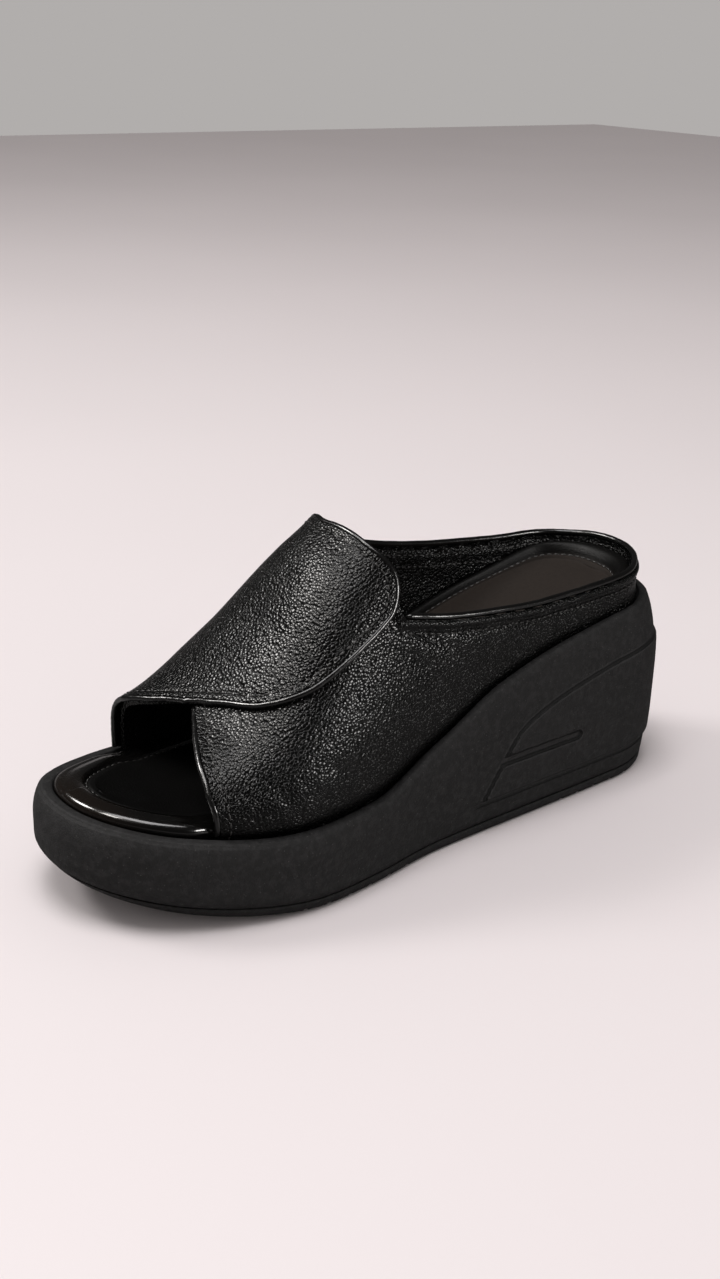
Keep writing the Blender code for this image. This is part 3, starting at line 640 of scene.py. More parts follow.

# %% [markdown]
# ## Insole, sock and sole
# The insole is one padded piece with two faces: smooth glossy leather towards its rolled edge
# and fine matte leather on the bed. Behind the arch a brown microfibre sock lies on it. The
# wedge is a foamed sole: matte, with fine pits and a few pale specks, and its moulding lines
# are narrower than a mesh face, so they're drawn as relief from a distance stored on the mesh,
# with painted shade darkening their grooves and a painted highlight along the panel's rim.


# %% Insole finish
def insole_finish():
    """Glossy towards the edge, fine-grained on the bed, brown on the sock at the heel."""
    insole = Finish(
        "insole leather", (0.006, 0.005, 0.004), 0.4, Coat_Roughness=0.13, Specular_IOR_Level=0.12
    )
    depth = insole.attribute("inset_mm")
    along = insole.attribute("station")
    bed = insole.span(depth, 9.5, 11.5)
    behind = 1.0 - insole.span(along, 0.60, 0.64)
    sock = bed * behind
    grain = insole.cells(1500, "F1", insole.warped(500, 0.0006))
    fibre = insole.noise(3800, 3.0, 0.7)
    wrinkle = insole.noise(420, 3.0, 0.6)
    leather_height = wrinkle * 0.7 - grain * 0.45
    height = leather_height * (1.0 - sock) + fibre * 0.35 * sock
    insole.set("Normal", insole.bump(height, 0.00013))
    rough = 0.22 + behind * 0.22 + bed * 0.20 + sock * 0.10 + insole.noise(90, 2.0) * 0.10
    insole.set("Roughness", rough)
    insole.set("Coat Weight", (1.0 - bed) * (1.0 - behind))
    brown = insole.mix(insole.noise(700, 4.0, 0.7), (0.014, 0.010, 0.008), (0.026, 0.020, 0.016))
    toe_border = insole.span(along, 0.90, 0.97)
    border = insole.mix(toe_border, (0.0022, 0.0020, 0.0018), (0.0075, 0.0048, 0.0032))
    black = insole.mix(bed, border, (0.0010, 0.0009, 0.0008))
    insole.set("Base Color", insole.mix(sock, black, brown))
    return insole.material


def foam_finish(name, colour, lines=False):
    """Moulded foam: fine pits, pale specks, and moulding lines where the mesh holds them. The lines
    carry painted shade, near black in their grooves, and a painted highlight along the heel panel's
    rim.
    """
    foam = Finish(name, colour, 0.62, Specular_IOR_Level=0.22)
    pits = foam.noise(1300, 4.0, 0.75)
    cloud = foam.noise(30, 3.0, 0.55)
    specks = foam.span(foam.cells(620, "F1"), 0.10, 0.06)
    mottle = foam.noise(420, 4.0, 0.65)
    relief = foam.bump(pits, 0.0004)
    shade = 0.0
    if lines:
        panel = foam.attribute("panel_line")
        band = foam.attribute("band_line")
        band_on = foam.attribute("band_on")
        # Masks of the moulding lines: they press relief, and they also paint shade into the
        # grooves' colour.
        groove = foam.span(abs(panel), 0.62, 0.28)
        thin = foam.span(abs(abs(band) - 1.0), 0.34, 0.14) * band_on
        shade = groove + thin * 0.9
        # A thin paler line along the heel panel's groove: a painted highlight on the groove's edge.
        rim = foam.span(abs(abs(panel) - 0.95), 0.35, 0.10)
        relief = foam.bump(1.0 - shade, 0.0016, relief)
    grey = foam.mix(foam.span(mottle, 0.42, 0.66), colour, times(colour, 2.1))
    light = foam.mix(specks * 0.6, grey, (0.17, 0.165, 0.16))
    dust_and_highlight = foam.mix(foam.span(cloud, 0.35, 0.75) * 0.35, light, times(colour, 1.8))
    if lines:
        # Paints the highlight along the panel groove's edge over the dust-clouded colour.
        dust_and_highlight = foam.mix(rim * 0.5, dust_and_highlight, times(colour, 3.2))
    # Painted shade: the base colour goes near black along the grooves of the moulding lines.
    foam.set("Base Color", foam.mix(shade, dust_and_highlight, (0.0010, 0.0010, 0.0010)) if lines else dust_and_highlight)
    foam.set("Roughness", 0.56 + pits * 0.16)
    foam.set("Normal", relief)
    return foam.material


insole_leather = insole_finish()
sole_foam = foam_finish("sole foam", (0.0098, 0.0096, 0.0098), lines=True)
outsole_rubber = foam_finish("outsole rubber", (0.0085, 0.0083, 0.0085))
print("finishes:", insole_leather.name, sole_foam.name, outsole_rubber.name)

# %% Thread finish
thread = Finish("black thread", (0.022, 0.021, 0.020), 0.34)
thread.set("Normal", thread.bump(thread.noise(5000, 2.0), 0.00008))
thread_black = thread.material
print("thread:", thread_black.name)

# %% [markdown]
# ## The outsole
# A thin tread layer with an eased foot and a small step where it meets the wedge. The tread's
# bars are cut with one Boolean from a set of boxes, which keeps their edges crisp.


# %% Build the outsole
def build_outsole():
    """The outsole as a stack of courses: an eased foot, a wall and a rounded upper edge."""
    top = OUTSOLE_THICKNESS
    foot = [(1.3 * (1 - math.cos(a)), 1.3 * (1 - math.sin(a))) for a in np.linspace(0, 1.57, 7)]
    wall = [(2.2, 0), (3.0, 0), (top - 0.5, 0.05), (top - 0.15, 0.3), (top, 0.9)]
    rows = [
        wall_ring(lambda at, side, lift=lift: floor_height(at) + lift, extra)
        for lift, extra in foot + wall
    ]
    return mesh_piece("outsole_fine", np.vstack(rows), stack_faces(rows), [outsole_rubber])


def cut_tread(piece):
    """Plain bars across heel and forefoot, as in the solid."""
    cutter = bmesh.new()
    pitch, width, depth = 9.0, 2.2, 1.2
    for start, end in ((0.06, 0.30), (0.54, 0.78)):
        for i in range(int((end - start) * LENGTH // pitch)):
            y = (start - 0.5) * LENGTH + (i + 0.5) * pitch
            top = float(floor_height(y / LENGTH + 0.5)) + depth
            size = Vector((BALL_WIDTH * 2, width, top + depth)) * MM
            centre = Vector((0, y, (top - depth) / 2)) * MM
            matrix = Matrix.Translation(centre) @ Matrix.Diagonal((*size, 1))
            bmesh.ops.create_cube(cutter, size=1.0, matrix=matrix)
    mesh = bpy.data.meshes.new("tread_cutter")
    cutter.to_mesh(mesh)
    cutter.free()
    tool = add_object("tread_cutter", mesh)
    bars = piece.modifiers.new("Tread", "BOOLEAN")
    bars.operation, bars.solver, bars.object = "DIFFERENCE", "EXACT", tool
    settle(piece, sharp=40)
    bpy.data.objects.remove(tool, do_unlink=True)
    return piece


outsole = dress(cut_tread(build_outsole()), "outsole", "outsole")

# %% [markdown]
# ## The wedge
# One stack of courses from the parting line to the floor of the recess. The heel panel is a
# step of a millimetre: each point of the wall asks how far inside the panel's side view it
# lies, and moves out by a smooth step of that distance. The distance itself is kept on the mesh
# for the material's thin lines.


# %% The heel panel's distance
def segment_distance(y, z, start, end):
    """Distance in the side view from points to a segment."""
    a, b = np.array(start), np.array(end)
    run = b - a
    t = np.clip(((y - a[0]) * run[0] + (z - a[1]) * run[1]) / (run @ run), 0, 1)
    return np.hypot(y - a[0] - t * run[0], z - a[1] - t * run[1])


def panel_outline():
    """The panel's side view without its slot, as (y, z) corners in mm."""
    ways = np.linspace(PANEL_ARC[0].station, PANEL_ARC[-1].station, 40)
    corners = [(way, float(follow(PANEL_ARC, "height", way)) * HEEL_HEIGHT) for way in ways]
    low = BAND_HEIGHT + BAND_GROOVE_HEIGHT
    corners += [PANEL_NOSE, (PANEL_FOOT, low), (PANEL_ARC[0].station, low)]
    return [((station - 0.5) * LENGTH, height) for station, height in corners]


def panel_distance(y, z):
    """Signed distance to the panel's edge in mm, positive inside it and outside its slot."""
    corners = panel_outline()
    nearest = np.full(y.shape, 1e9)
    inside = np.zeros(y.shape, bool)
    for (y0, z0), (y1, z1) in zip(corners, corners[1:] + corners[:1]):
        nearest = np.minimum(nearest, segment_distance(y, z, (y0, z0), (y1, z1)))
        crossing = (z0 > z) != (z1 > z)
        reach = y0 + (z - z0) * (y1 - y0) / (z1 - z0 if z1 != z0 else 1e-9)
        inside ^= crossing & (y < reach)
    signed = np.where(inside, nearest, -nearest)
    ends = [((station - 0.5) * LENGTH, height) for station, height in SLOT]
    slot = segment_distance(y, z, *ends) - SLOT_RADIUS
    return np.minimum(signed, slot)


print("corners of the heel panel:", len(panel_outline()))


# %% Build the wedge
def wedge_heights():
    """Heights of the wall's courses, as functions, close together at the band's lines."""
    steps = [4.3, 4.5, 5.2, 6.5, 8.0, 9.5, 10.6, 11.2, 11.6, 12.0, 12.5, 13.0, 13.4, 13.8, 14.4]
    rows = [lambda at, side, lift=lift: floor_height(at) + lift for lift in steps]

    def between(part):
        def height(at, side):
            return lerp(floor_height(at) + steps[-1], rim_height(at) - LIP_RADIUS, part)

        return height

    return rows + [between(part) for part in np.linspace(0, 1, 50)[1:]]


def wedge_row(height, extra):
    """A course of the wall, with the panel's step and the band's shallow groove."""
    row = wall_ring(height, extra)
    y, z = row[:, 1], row[:, 2]
    at = share_along(row)
    distance = panel_distance(y, z)
    band = z - floor_height(at) - BAND_HEIGHT - BAND_GROOVE_HEIGHT / 2
    band_on = 1 - ease(PANEL_FOOT, PANEL_FOOT + 0.015, at)
    groove = 0.45 * (1 - ease(0.5, 1.3, abs(band))) * band_on
    out = panel_relief(at) * ease(-0.5, 0.6, distance) - groove
    normal = np.roll(row, 1, 0) - np.roll(row, -1, 0)
    normal = np.column_stack([-normal[:, 1], normal[:, 0]])
    normal /= np.linalg.norm(normal, axis=1, keepdims=True) + 1e-12
    outwards = np.sign((normal * (row[:, :2] - row[:, :2].mean(0))).sum()) or 1.0
    row[:, :2] += normal * outwards * out[:, None]
    return row, distance, band, band_on


def build_wedge():
    """The wedge's wall, rounded lip, recess wall and recess floor."""
    table = [wedge_row(height, 0.9 * max(0, 1 - i / 2)) for i, height in enumerate(wedge_heights())]
    rows = [row for row, *_ in table]

    def rim_ring(inset, drop):
        return ring(inset, lambda at, side: rim_height(at) - drop)

    for angle in np.linspace(0, math.pi / 2, 7)[1:]:
        extra, drop = LIP_RADIUS * (1 - math.cos(angle)), LIP_RADIUS * (1 - math.sin(angle))
        rows.append(rim_ring(lambda at: rim_inset(at) + panel_relief(at) + extra, drop))
    for extra, drop in ((-1.4, 0.0), (-0.5, 0.0), (-0.15, 0.12), (0.0, 0.5), (0.1, RECESS_DEPTH)):
        rows.append(rim_ring(lambda at: recess_inset(at) + extra, drop))
    far = np.full((len(rows) - len(table)) * len(rows[0]), -50.0)
    names = ("panel_line", "band_line", "band_on")
    attributes = {
        name: np.concatenate([*(course[i] for course in table), far * (name != "band_on")])
        for i, name in enumerate(names, 1)
    }
    return mesh_piece("wedge_fine", np.vstack(rows), stack_faces(rows), [sole_foam], attributes)


wedge = dress(build_wedge(), "sole", "sole_wedge")

# %% [markdown]
# ## The insole
# A padded board: it rolls over at its edge, dips at the line of stitches, and carries a shallow
# bed. It is built as rings that shrink towards the middle line, because a flat cap would shade
# badly over the dished heel.

# %% Build the insole
ROLL = 3.0
BORDER = 12.0
BORDER_WIDTHS = table(
    "station width",
    (0.00, 9.0),
    (0.05, 8.0),
    (0.14, 5.4),
    (0.30, 4.6),
    (0.50, 4.6),
    (0.62, 7.0),
    (0.74, 11.5),
    (0.84, 12.0),
    (1.00, 12.0),
)
STITCH_AT = 0.84
UPPER_ENDS = (0.845, 0.885)
BED_BEGINS = 1.15
BED_DIP = 0.5
BED_DIP_REACH = 10.0


def insole_base(station):
    """Inset of the insole's side: inside the upper, and against the recess in front."""
    lean = np.maximum(-follow(LAST, "outer_full", station), 0) * FULLNESS_DEPTH
    behind = WALL + SEAT_GAP + lean * 1.3 - 0.3
    return recess_inset(station) + GAP + behind * (1 - ease(*UPPER_ENDS, station))


def insole_top(station, side, part):
    """Height of the insole's border: part runs from 0 at the roll to 1 at the bed."""
    edge = HEEL_RISE * follow(BED, SIDE_NAMES[side], station)
    bed = HEEL_RISE * follow(BED, "bed", station)
    swell = 0.9 * np.sin(math.pi * np.clip(part / STITCH_AT, 0, 1)) ** 1.5
    dip = 0.75 * bell(part - STITCH_AT, 0.075)
    return rim_height(station) + edge + (bed - edge) * part**1.5 + swell - dip


def border_inset(station, part):
    """Distance from the insole's side: part runs from 0 at the roll to 1 at the bed."""
    return lerp(ROLL, follow(BORDER_WIDTHS, "width", station), part)


def build_insole():
    """Underside, rolled edge, border and bed, ring by ring."""
    rows, depth = [], []

    def add(inset, height, distance):
        rows.append(ring(lambda at: insole_base(at) + inset(at), height))
        depth.append(np.full(len(rows[-1]), distance))

    add(lambda at: 0.5, lambda at, side: rim_height(at) - RECESS_DEPTH + 0.35, 0.5)
    for angle in np.linspace(0, math.pi / 2, 12):

        def level(at, side):
            top = insole_top(at, side, 0.0)
            return lerp(np.maximum(top - ROLL, rim_height(at) - 0.5), top, math.sin(angle))

        inwards = ROLL * (1 - math.cos(angle))
        add(lambda at: inwards, level, inwards)
    for part in np.linspace(0, BED_BEGINS, 26)[1:]:
        add(
            lambda at: border_inset(at, part),
            lambda at, side: insole_top(at, side, part),
            lerp(ROLL, BORDER, part),
        )
    border = rows[-1]
    partner = border[[(RING_STEPS * 2 - i) % len(border) for i in range(len(border))]]
    for part in np.linspace(0, 1, 18)[1:]:
        row = lerp(border, (border + partner) / 2, part)
        inwards = np.linalg.norm((row - border)[:, :2], axis=1) / BED_DIP_REACH
        row[:, 2] -= BED_DIP * np.sin(math.pi / 2 * np.clip(inwards, 0, 1))
        rows.append(row)
        depth.append(np.full(len(row), BORDER * BED_BEGINS + 20 * part))
    points = np.vstack(rows)
    attributes = {"inset_mm": np.concatenate(depth), "station": share_along(points)}
    faces = stack_faces(rows, closed=False)
    return mesh_piece("insole_fine", points, faces, [insole_leather], attributes)


insole = dress(build_insole(), "insole", "insole")

# %% [markdown]
# ## The last
# Uppers are pulled over a last, a solid foot. Its surface is written here as sections: an angle
# runs from the sole over the ridge, and each section is a soft box whose squareness grows
# towards the toe. Everything made of leather asks this one surface where it lies.


# %% The last's surface
def crown_height(station):
    """Height of the last's ridge."""
    return rim_height(station) + INSTEP_HEIGHT * follow(LAST, "crown", station)


def foot_height(station):
    """Height of the upper's lower edge, down in the recess."""
    return rim_height(station) - RECESS_DEPTH + SEAT_GAP


def foot_point(side, station):
    """The plan of the upper's lower edge, just inside the recess."""
    return inset_point(side, station, recess_inset(station) + SEAT_GAP)


def last_point(side, station, angle):
    """A point of the last's surface at a station and an angle round its section."""
    station, angle = np.broadcast_arrays(np.asarray(station, float), np.asarray(angle, float))
    name = SIDE_NAMES[side]
    foot = foot_point(side, station)
    turn_at = np.maximum(station, HEEL_CENTRE / LENGTH)
    edges = raw_outline(turn_at)
    middle = ((edges[0] + edges[1]) / 2 - PLAN_SHIFT) * PLAN_SCALE
    ridge = middle + RIDGE_SHIFT * follow(LAST, "shift", turn_at)
    centre = np.stack([ridge, (turn_at - 0.5) * LENGTH], -1)
    box = follow(LAST, name + "_box", station)
    spread, climb = np.cos(angle), np.sin(angle)
    size = (spread**box + climb**box) ** (-1 / box)
    low = foot_height(share_along(foot))
    height = low + (crown_height(station) - low) * climb * size
    above = np.clip((height - low - RECESS_DEPTH + SEAT_GAP) / FULLNESS_HEIGHT, 0, 1)
    swell = np.sin(math.pi * above**FULLNESS_CURVE)
    full = FULLNESS_DEPTH * follow(LAST, name + "_full", station) * swell
    reach = foot - centre
    length = np.linalg.norm(reach, axis=-1, keepdims=True)
    plan = centre + reach * (spread * size)[..., None] + reach / length * full[..., None]
    return np.concatenate([plan, height[..., None]], -1)


def angle_at(side, station, height):
    """The angle at which the last's surface reaches a height."""
    box = follow(LAST, SIDE_NAMES[side] + "_box", station)
    low = foot_height(share_along(foot_point(side, station)))
    share = np.clip((height - low) / (crown_height(station) - low), 0, 0.999)
    return np.arctan2(share, (1 - share**box) ** (1 / box))


def collar_angle(side, station):
    """The angle at which the collar's edge lies."""
    height = HEEL_HEIGHT + COLLAR_RISE * follow(COLLAR, SIDE_NAMES[side], station)
    return angle_at(side, station, height)


THROAT_ANGLES = {s: float(collar_angle(s, edge.throat)) for s, edge in SIDE_EDGES.items()}


def crown_point(station, turn):
    """A point over the whole section: turn runs from the outer foot to pi at the inner."""
    outer = last_point(-1, station, np.clip(turn, 0, math.pi / 2))
    inner = last_point(1, station, np.clip(math.pi - turn, 0, math.pi / 2))
    return np.where((turn <= math.pi / 2)[..., None], outer, inner)


def outward(station, turn):
    """The last's outward normal, from differences."""
    along = crown_point(station + 0.002, turn) - crown_point(station - 0.002, turn)
    low, high = np.clip(turn - 0.008, 0, math.pi), np.clip(turn + 0.008, 0, math.pi)
    normal = np.cross(crown_point(station, high) - crown_point(station, low), along)
    normal = normal / np.linalg.norm(normal, axis=-1, keepdims=True)
    middle = crown_point(station, np.full_like(turn, math.pi / 2))
    away = crown_point(station, turn) - middle + np.array([0, 0, BALL_WIDTH])
    return normal * np.sign((normal * away).sum(-1, keepdims=True))


print("collar's angles at the throat:", [round(a, 3) for a in THROAT_ANGLES.values()])


# %% Edges as paths
def collar_path(below=0.0, reach=0.545, count=120):
    """The collar from the outer front, round the heel, to the inner front, at a distance
    below its edge; with it, points of the surface just below."""
    at = station_of(np.linspace(math.acos(1 - 2 * reach), 0, count))
    paths = []
    for drop in (below, below + 1.0):
        halves = []
        for side in SIDE_NAMES:
            height = last_point(side, at, collar_angle(side, at))[:, 2] - drop
            halves.append(last_point(side, at, angle_at(side, at, height)))
        paths.append(np.vstack([halves[0], halves[1][::-1][1:]]))
    return paths


def framed(rims, insides, beyond=0.0, lift=0.0):
    """A path moved beyond its edge and lifted off its surface, in mm. Rims are the edge's
    points and insides are points of the surface just behind them."""
    along = np.gradient(rims, axis=0)
    along /= np.linalg.norm(along, axis=1, keepdims=True)
    away = rims - insides
    away -= (away * along).sum(1, keepdims=True) * along
    away /= np.linalg.norm(away, axis=1, keepdims=True)
    normal = np.cross(along, away)
    if (normal * (rims - np.array([0, 0, PLATFORM_HEIGHT]))).sum() < 0:
        normal = -normal
    return rims + away * beyond + normal * lift


# %% [markdown]
# ## The upper
# One hollow shell: a vamp over the crown and a quarter that runs round the heel. It is a sheet
# first, so that creases and seams can be pressed into it, and Solidify then gives it its wall.
# The inner faces take the lining's material.


# %% Sheet of the upper
BELT_ROWS = np.array((0.0, 0.10, 0.28, 0.52, 0.76, 1.0))
BELT_COUNT = 46
CROWN_COUNT = 84
VAMP_STEPS = 64
QUARTER_STEPS = 130
BELT_SHARES = 1 - np.linspace(1, 0, BELT_COUNT) ** 1.6


def spline_through(rows, points, at):
    """A smooth curve through points given at rising rows."""
    slopes = np.gradient(points, rows, axis=0)
    k = np.clip(np.searchsorted(rows, at) - 1, 0, len(rows) - 2)
    pair = np.stack([k, k + 1])
    step = (rows[k + 1] - rows[k])[:, None]
    return cubic((at - rows[k])[:, None] / step, step, points[pair], slopes[pair])


def belt_line(side, way):
    """Between toe edge and throat: station of the foot, then station and angle of the belt."""
    edge = SIDE_EDGES[side]
    foot = lerp(FOOT_TOE[side], FOOT_THROAT[side], way)
    return foot, lerp(edge.toe, edge.throat, way), lerp(TOE_BELT, THROAT_ANGLES[side], way)


def belt_column(side, foot_station, belt_station, belt_angle):
    """One column of the sheet from the foot to the belt."""
    station = lerp(foot_station, belt_station, BELT_ROWS)
    belt = last_point(side, belt_station, belt_angle)[2]
    foot = share_along(foot_point(side, foot_station))
    angles = angle_at(side, station, lerp(rim_height(foot), belt, BELT_ROWS))
    angles[-1] = belt_angle
    wall = spline_through(BELT_ROWS, last_point(side, station, angles), BELT_SHARES)
    start = last_point(side, station[0], angle_at(side, station[0], foot_height(foot)))
    return np.vstack([start[None], wall])


def upper_sheets():
    """The vamp and both halves of the quarter, as grids that share their edges."""
    over = np.linspace(0, 1, CROWN_COUNT + 1)[1:-1]
    toe, throat = follow(EDGES, "toe", over), follow(EDGES, "throat", over)
    vamp = []
    for way in np.linspace(0, 1, VAMP_STEPS + 1):
        lines = {side: belt_line(side, way) for side in SIDE_NAMES}
        outer, inner = (belt_column(side, *lines[side]) for side in SIDE_NAMES)
        turn = lerp(lines[-1][2], math.pi - lines[1][2], over)
        vamp.append(np.vstack([outer, crown_point(lerp(toe, throat, way), turn), inner[::-1]]))
    grids = [vamp]
    for side, edge in SIDE_EDGES.items():
        columns = []
        for k in range(QUARTER_STEPS + 1):
            part = 1 - k / QUARTER_STEPS
            foot, belt = [
                station_of(math.acos(1 - 2 * end) * part)
                for end in (FOOT_THROAT[side], edge.throat)
            ]
            columns.append(belt_column(side, foot, belt, float(collar_angle(side, belt))))
        grids.append(columns)
    return grids


def sheet_piece(name, grids):
    """One open surface from grids that share their edges, facing away from the foot."""
    points, faces, start = [], [], 0
    for grid in grids:
        faces += sheet_faces(start, len(grid), len(grid[0]))
        points.append(np.vstack(grid))
        start += len(grid) * len(grid[0])
    piece = mesh_piece(name, np.vstack(points), faces, [black_leather, lining_leather])
    mesh = piece.data
    inside = Vector((0, 0, PLATFORM_HEIGHT * MM))
    facing = sum(face.area * face.normal.dot(face.center - inside) for face in mesh.polygons)
    if facing < 0:
        mesh.flip_normals()
    return piece


# %% Pressing seams and creases into a sheet
def distance_field(points, path):
    """Distance in mm from each point to a path, which is sampled finely first."""
    path = np.asarray(path)
    steps = [lerp(a, b, t) for a, b in zip(path, path[1:]) for t in (0, 0.5)]
    tree = KDTree(len(steps))
    for i, place in enumerate(steps):
        tree.insert(place, i)
    tree.balance()
    return np.array([tree.find(point)[2] for point in points])


def press(piece, change):
    """Moves each point along its normal by a change in mm, a function of the points."""
    vertices = piece.data.vertices
    points, normals = np.empty((2, len(vertices) * 3))
    vertices.foreach_get("co", points)
    piece.data.vertex_normals.foreach_get("vector", normals)
    points, normals = points.reshape(-1, 3) / MM, normals.reshape(-1, 3)
    moved = (points + normals * change(points)[:, None]) * MM
    vertices.foreach_set("co", moved.ravel())
    piece.data.update()


CREASES = table(
    "side start start_height end end_height depth width",
    (-1, 0.545, 84.0, 0.450, 70.0, 0.55, 2.6),
    (-1, 0.560, 80.0, 0.500, 62.0, 0.35, 2.2),
    (-1, 0.470, 80.0, 0.400, 72.0, 0.40, 2.4),
    (-1, 0.700, 50.0, 0.630, 38.0, 0.40, 3.0),
    (-1, 0.780, 48.0, 0.740, 34.0, 0.35, 2.6),
    (-1, 0.350, 76.0, 0.300, 70.0, 0.30, 2.4),
    (1, 0.450, 78.0, 0.380, 68.0, 0.45, 2.6),
    (1, 0.350, 78.0, 0.280, 72.0, 0.35, 2.6),
)


def crease_path(crease, steps=14):
    """A crease as a slightly bowed line on the last."""
    t = np.linspace(0, 1, steps)
    station = lerp(crease.start, crease.end, t)
    height = lerp(crease.start_height, crease.end_height, t) + 1.5 * np.sin(math.pi * t)
    return last_point(crease.side, station, angle_at(crease.side, station, height))


def thicken(piece, wall):
    """Gives a sheet its wall, inwards, with the second of its materials on the inside."""
    solid = piece.modifiers.new("Wall", "SOLIDIFY")
    solid.thickness = wall * MM
    solid.offset = -1.0
    solid.use_even_offset = True
    solid.material_offset = 1
    return settle(piece, sharp=55)


print("creases:", len(CREASES))

# %% Build the upper
FOLD_BEAD = 2.3
collar_rim = collar_path()[0]
vamp_grid, *quarter_grids = upper_sheets()
toe_rim = vamp_grid[0]
toe_inside = vamp_grid[1]


def upper_relief(points):
    """The folded bead under the collar's piping, stitch troughs and creases, in mm."""
    collar = distance_field(points, collar_rim)
    across = (collar - FOLD_BEAD / 2 - 0.2) / (FOLD_BEAD / 2)
    bead = 0.95 * np.sqrt(np.clip(1 - across**2, 0, 1))
    change = bead - 0.35 * bell(collar - 4.6, 0.9)
    toe = distance_field(points, toe_rim)
    change -= 0.22 * bell(toe - 3.2, 0.7)
    for crease in CREASES:
        path = crease_path(crease)
        middle = path[len(path) // 2]
        fade = bell(np.linalg.norm(points - middle, axis=1), 11.0)
        line = distance_field(points, path)
        change += fade * crease.depth * (0.6 * bell(line - crease.width * 1.7, crease.width))
        change -= fade * crease.depth * bell(line, crease.width)
    slow = np.sin(points[:, 1] / 9.0 + points[:, 2] / 7.0) * np.sin(points[:, 2] / 11.0)
    return change + 0.10 * slow


upper = sheet_piece("upper_fine", [vamp_grid] + quarter_grids)
press(upper, upper_relief)
upper = thicken(upper, WALL)
dress(upper, "leather", "upper")

# %% [markdown]
# ## The flap
# The flap comes up the inner side and closes over the instep on the outer side. It lies on the
# last like the upper does, a wall's thickness further out. A grid of the way from toe to throat
# and the way over the crown follows its curved outer edge, and the corner at the throat is
# rounded by squeezing that grid's corner.


# %% Sheet of the flap
def flap_place(way, over):
    """Station and turn of points of the flap."""
    foot_station, _, last = belt_line(1, way)
    first = belt_line(-1, way)[2]
    rim = rim_height(foot_station) + SEAT_GAP
    end = math.pi - angle_at(1, foot_station, rim)
    turn = lerp(follow(FLAP_EDGE, "angle", way), end, over)
    across = (turn - first) / (math.pi - last - first)
    part = np.clip((turn - (math.pi - last)) / last, 0, 1)

    def reach(edge, foot):
        low = lerp(getattr(EDGES[-1], edge), foot[1], part)
        return np.where(across > 1, low, follow(EDGES, edge, across))

    toe = reach("toe", FOOT_TOE) + FLAP_LEAD / LENGTH
    throat = reach("throat", FOOT_THROAT) - FLAP_LEAD / LENGTH
    return lerp(toe, throat, way), turn


def flap_points(way, over, offset):
    """Points of the flap at an offset from the last, its throat corner rounded."""
    way, over = np.broadcast_arrays(np.asarray(way, float), np.asarray(over, float))
    u = np.clip((way - 1 + FLAP_CORNER_ALONG) / FLAP_CORNER_ALONG, 0, 1)
    v = np.clip((FLAP_CORNER_UP - over) / FLAP_CORNER_UP, 0, 1)
    corner = (u > 0) & (v > 0)
    round_u, round_v = u * np.sqrt(1 - v * v / 2), v * np.sqrt(1 - u * u / 2)
    way = np.where(corner, 1 - FLAP_CORNER_ALONG + round_u * FLAP_CORNER_ALONG, way)
    over = np.where(corner, FLAP_CORNER_UP - round_v * FLAP_CORNER_UP, over)
    station, turn = flap_place(way, over)
    return crown_point(station, turn) + outward(station, turn) * offset


FLAP_OUT = FLAP_GAP + FLAP_WALL


def flap_edge(inside=0.0):
    """The flap's free edge as a path from its foot at the toe, over the crown, along the outer
    side and back over the throat; inside moves it in by a share of the grid."""
    low, high = inside, 1 - inside
    front = flap_points(low, np.linspace(0.995, low, 130), FLAP_OUT)
    outer = flap_points(np.linspace(low, high, 110), low, FLAP_OUT)
    back = flap_points(high, np.linspace(low, 0.995, 130), FLAP_OUT)
    return np.vstack([front, outer[1:], back[1:]])


# %% Build the flap
flap_rim = flap_edge()
flap_inside = flap_edge(0.02)


def flap_relief(points):
    """Leather that is pinched at the stitches and swells a little between them, in mm."""
    edge = distance_field(points, flap_rim)
    swell = 0.25 * ease(3.0, 14.0, edge)
    trough = 0.22 * bell(edge - 2.4, 0.6)
    fold = 0.12 * bell(edge - 1.0, 0.8)
    slow = np.sin(points[:, 1] / 13.0 + points[:, 0] / 9.0) * np.cos(points[:, 0] / 12.0)
    return swell + fold - trough + 0.12 * slow * ease(4.0, 14.0, edge)


flap_grid = [
    flap_points(way, np.linspace(0, 1, 170), FLAP_OUT) for way in np.linspace(0, 1, 120)
]
flap = sheet_piece("flap_fine", [flap_grid])
press(flap, flap_relief)
flap = thicken(flap, FLAP_WALL)
dress(flap, "leather", "vamp_flap")

# %% [markdown]
# ## Piping
# Piping is a strip of thin leather folded over a cord. A bevelled curve along the edge makes
# it, and it is turned into a mesh at once so that its ends can be closed.


# %% Piping helper
def piping(name, path, radius, *nodes):
    """A round bead along a path in mm, with rounded-off ends."""
    curve = bpy.data.curves.new(name, "CURVE")
    curve.dimensions = "3D"
    curve.bevel_depth = radius * MM
    curve.bevel_resolution = 4
    curve.use_fill_caps = True
    spline = curve.splines.new("POLY")
    spline.points.add(len(path) - 1)
    for i, (point, place) in enumerate(zip(spline.points, path)):
        point.co = (*(np.array(place) * MM), 1.0)
        ends = min(i, len(path) - 1 - i)
        point.radius = 0.55 if ends == 0 else 0.9 if ends == 1 else 1.0
        point.radius *= 1 + 0.02 * math.sin(i * 0.9) + 0.02 * math.sin(i * 0.37)
    guide = add_object(name + "_guide", curve)
    mesh = evaluated_mesh(guide)
    bpy.data.objects.remove(guide, do_unlink=True)
    clean(mesh, 1e-6)
    mesh.materials.clear()
    mesh.materials.append(piping_leather)
    return dress(add_object(name, mesh), "piping", *nodes)


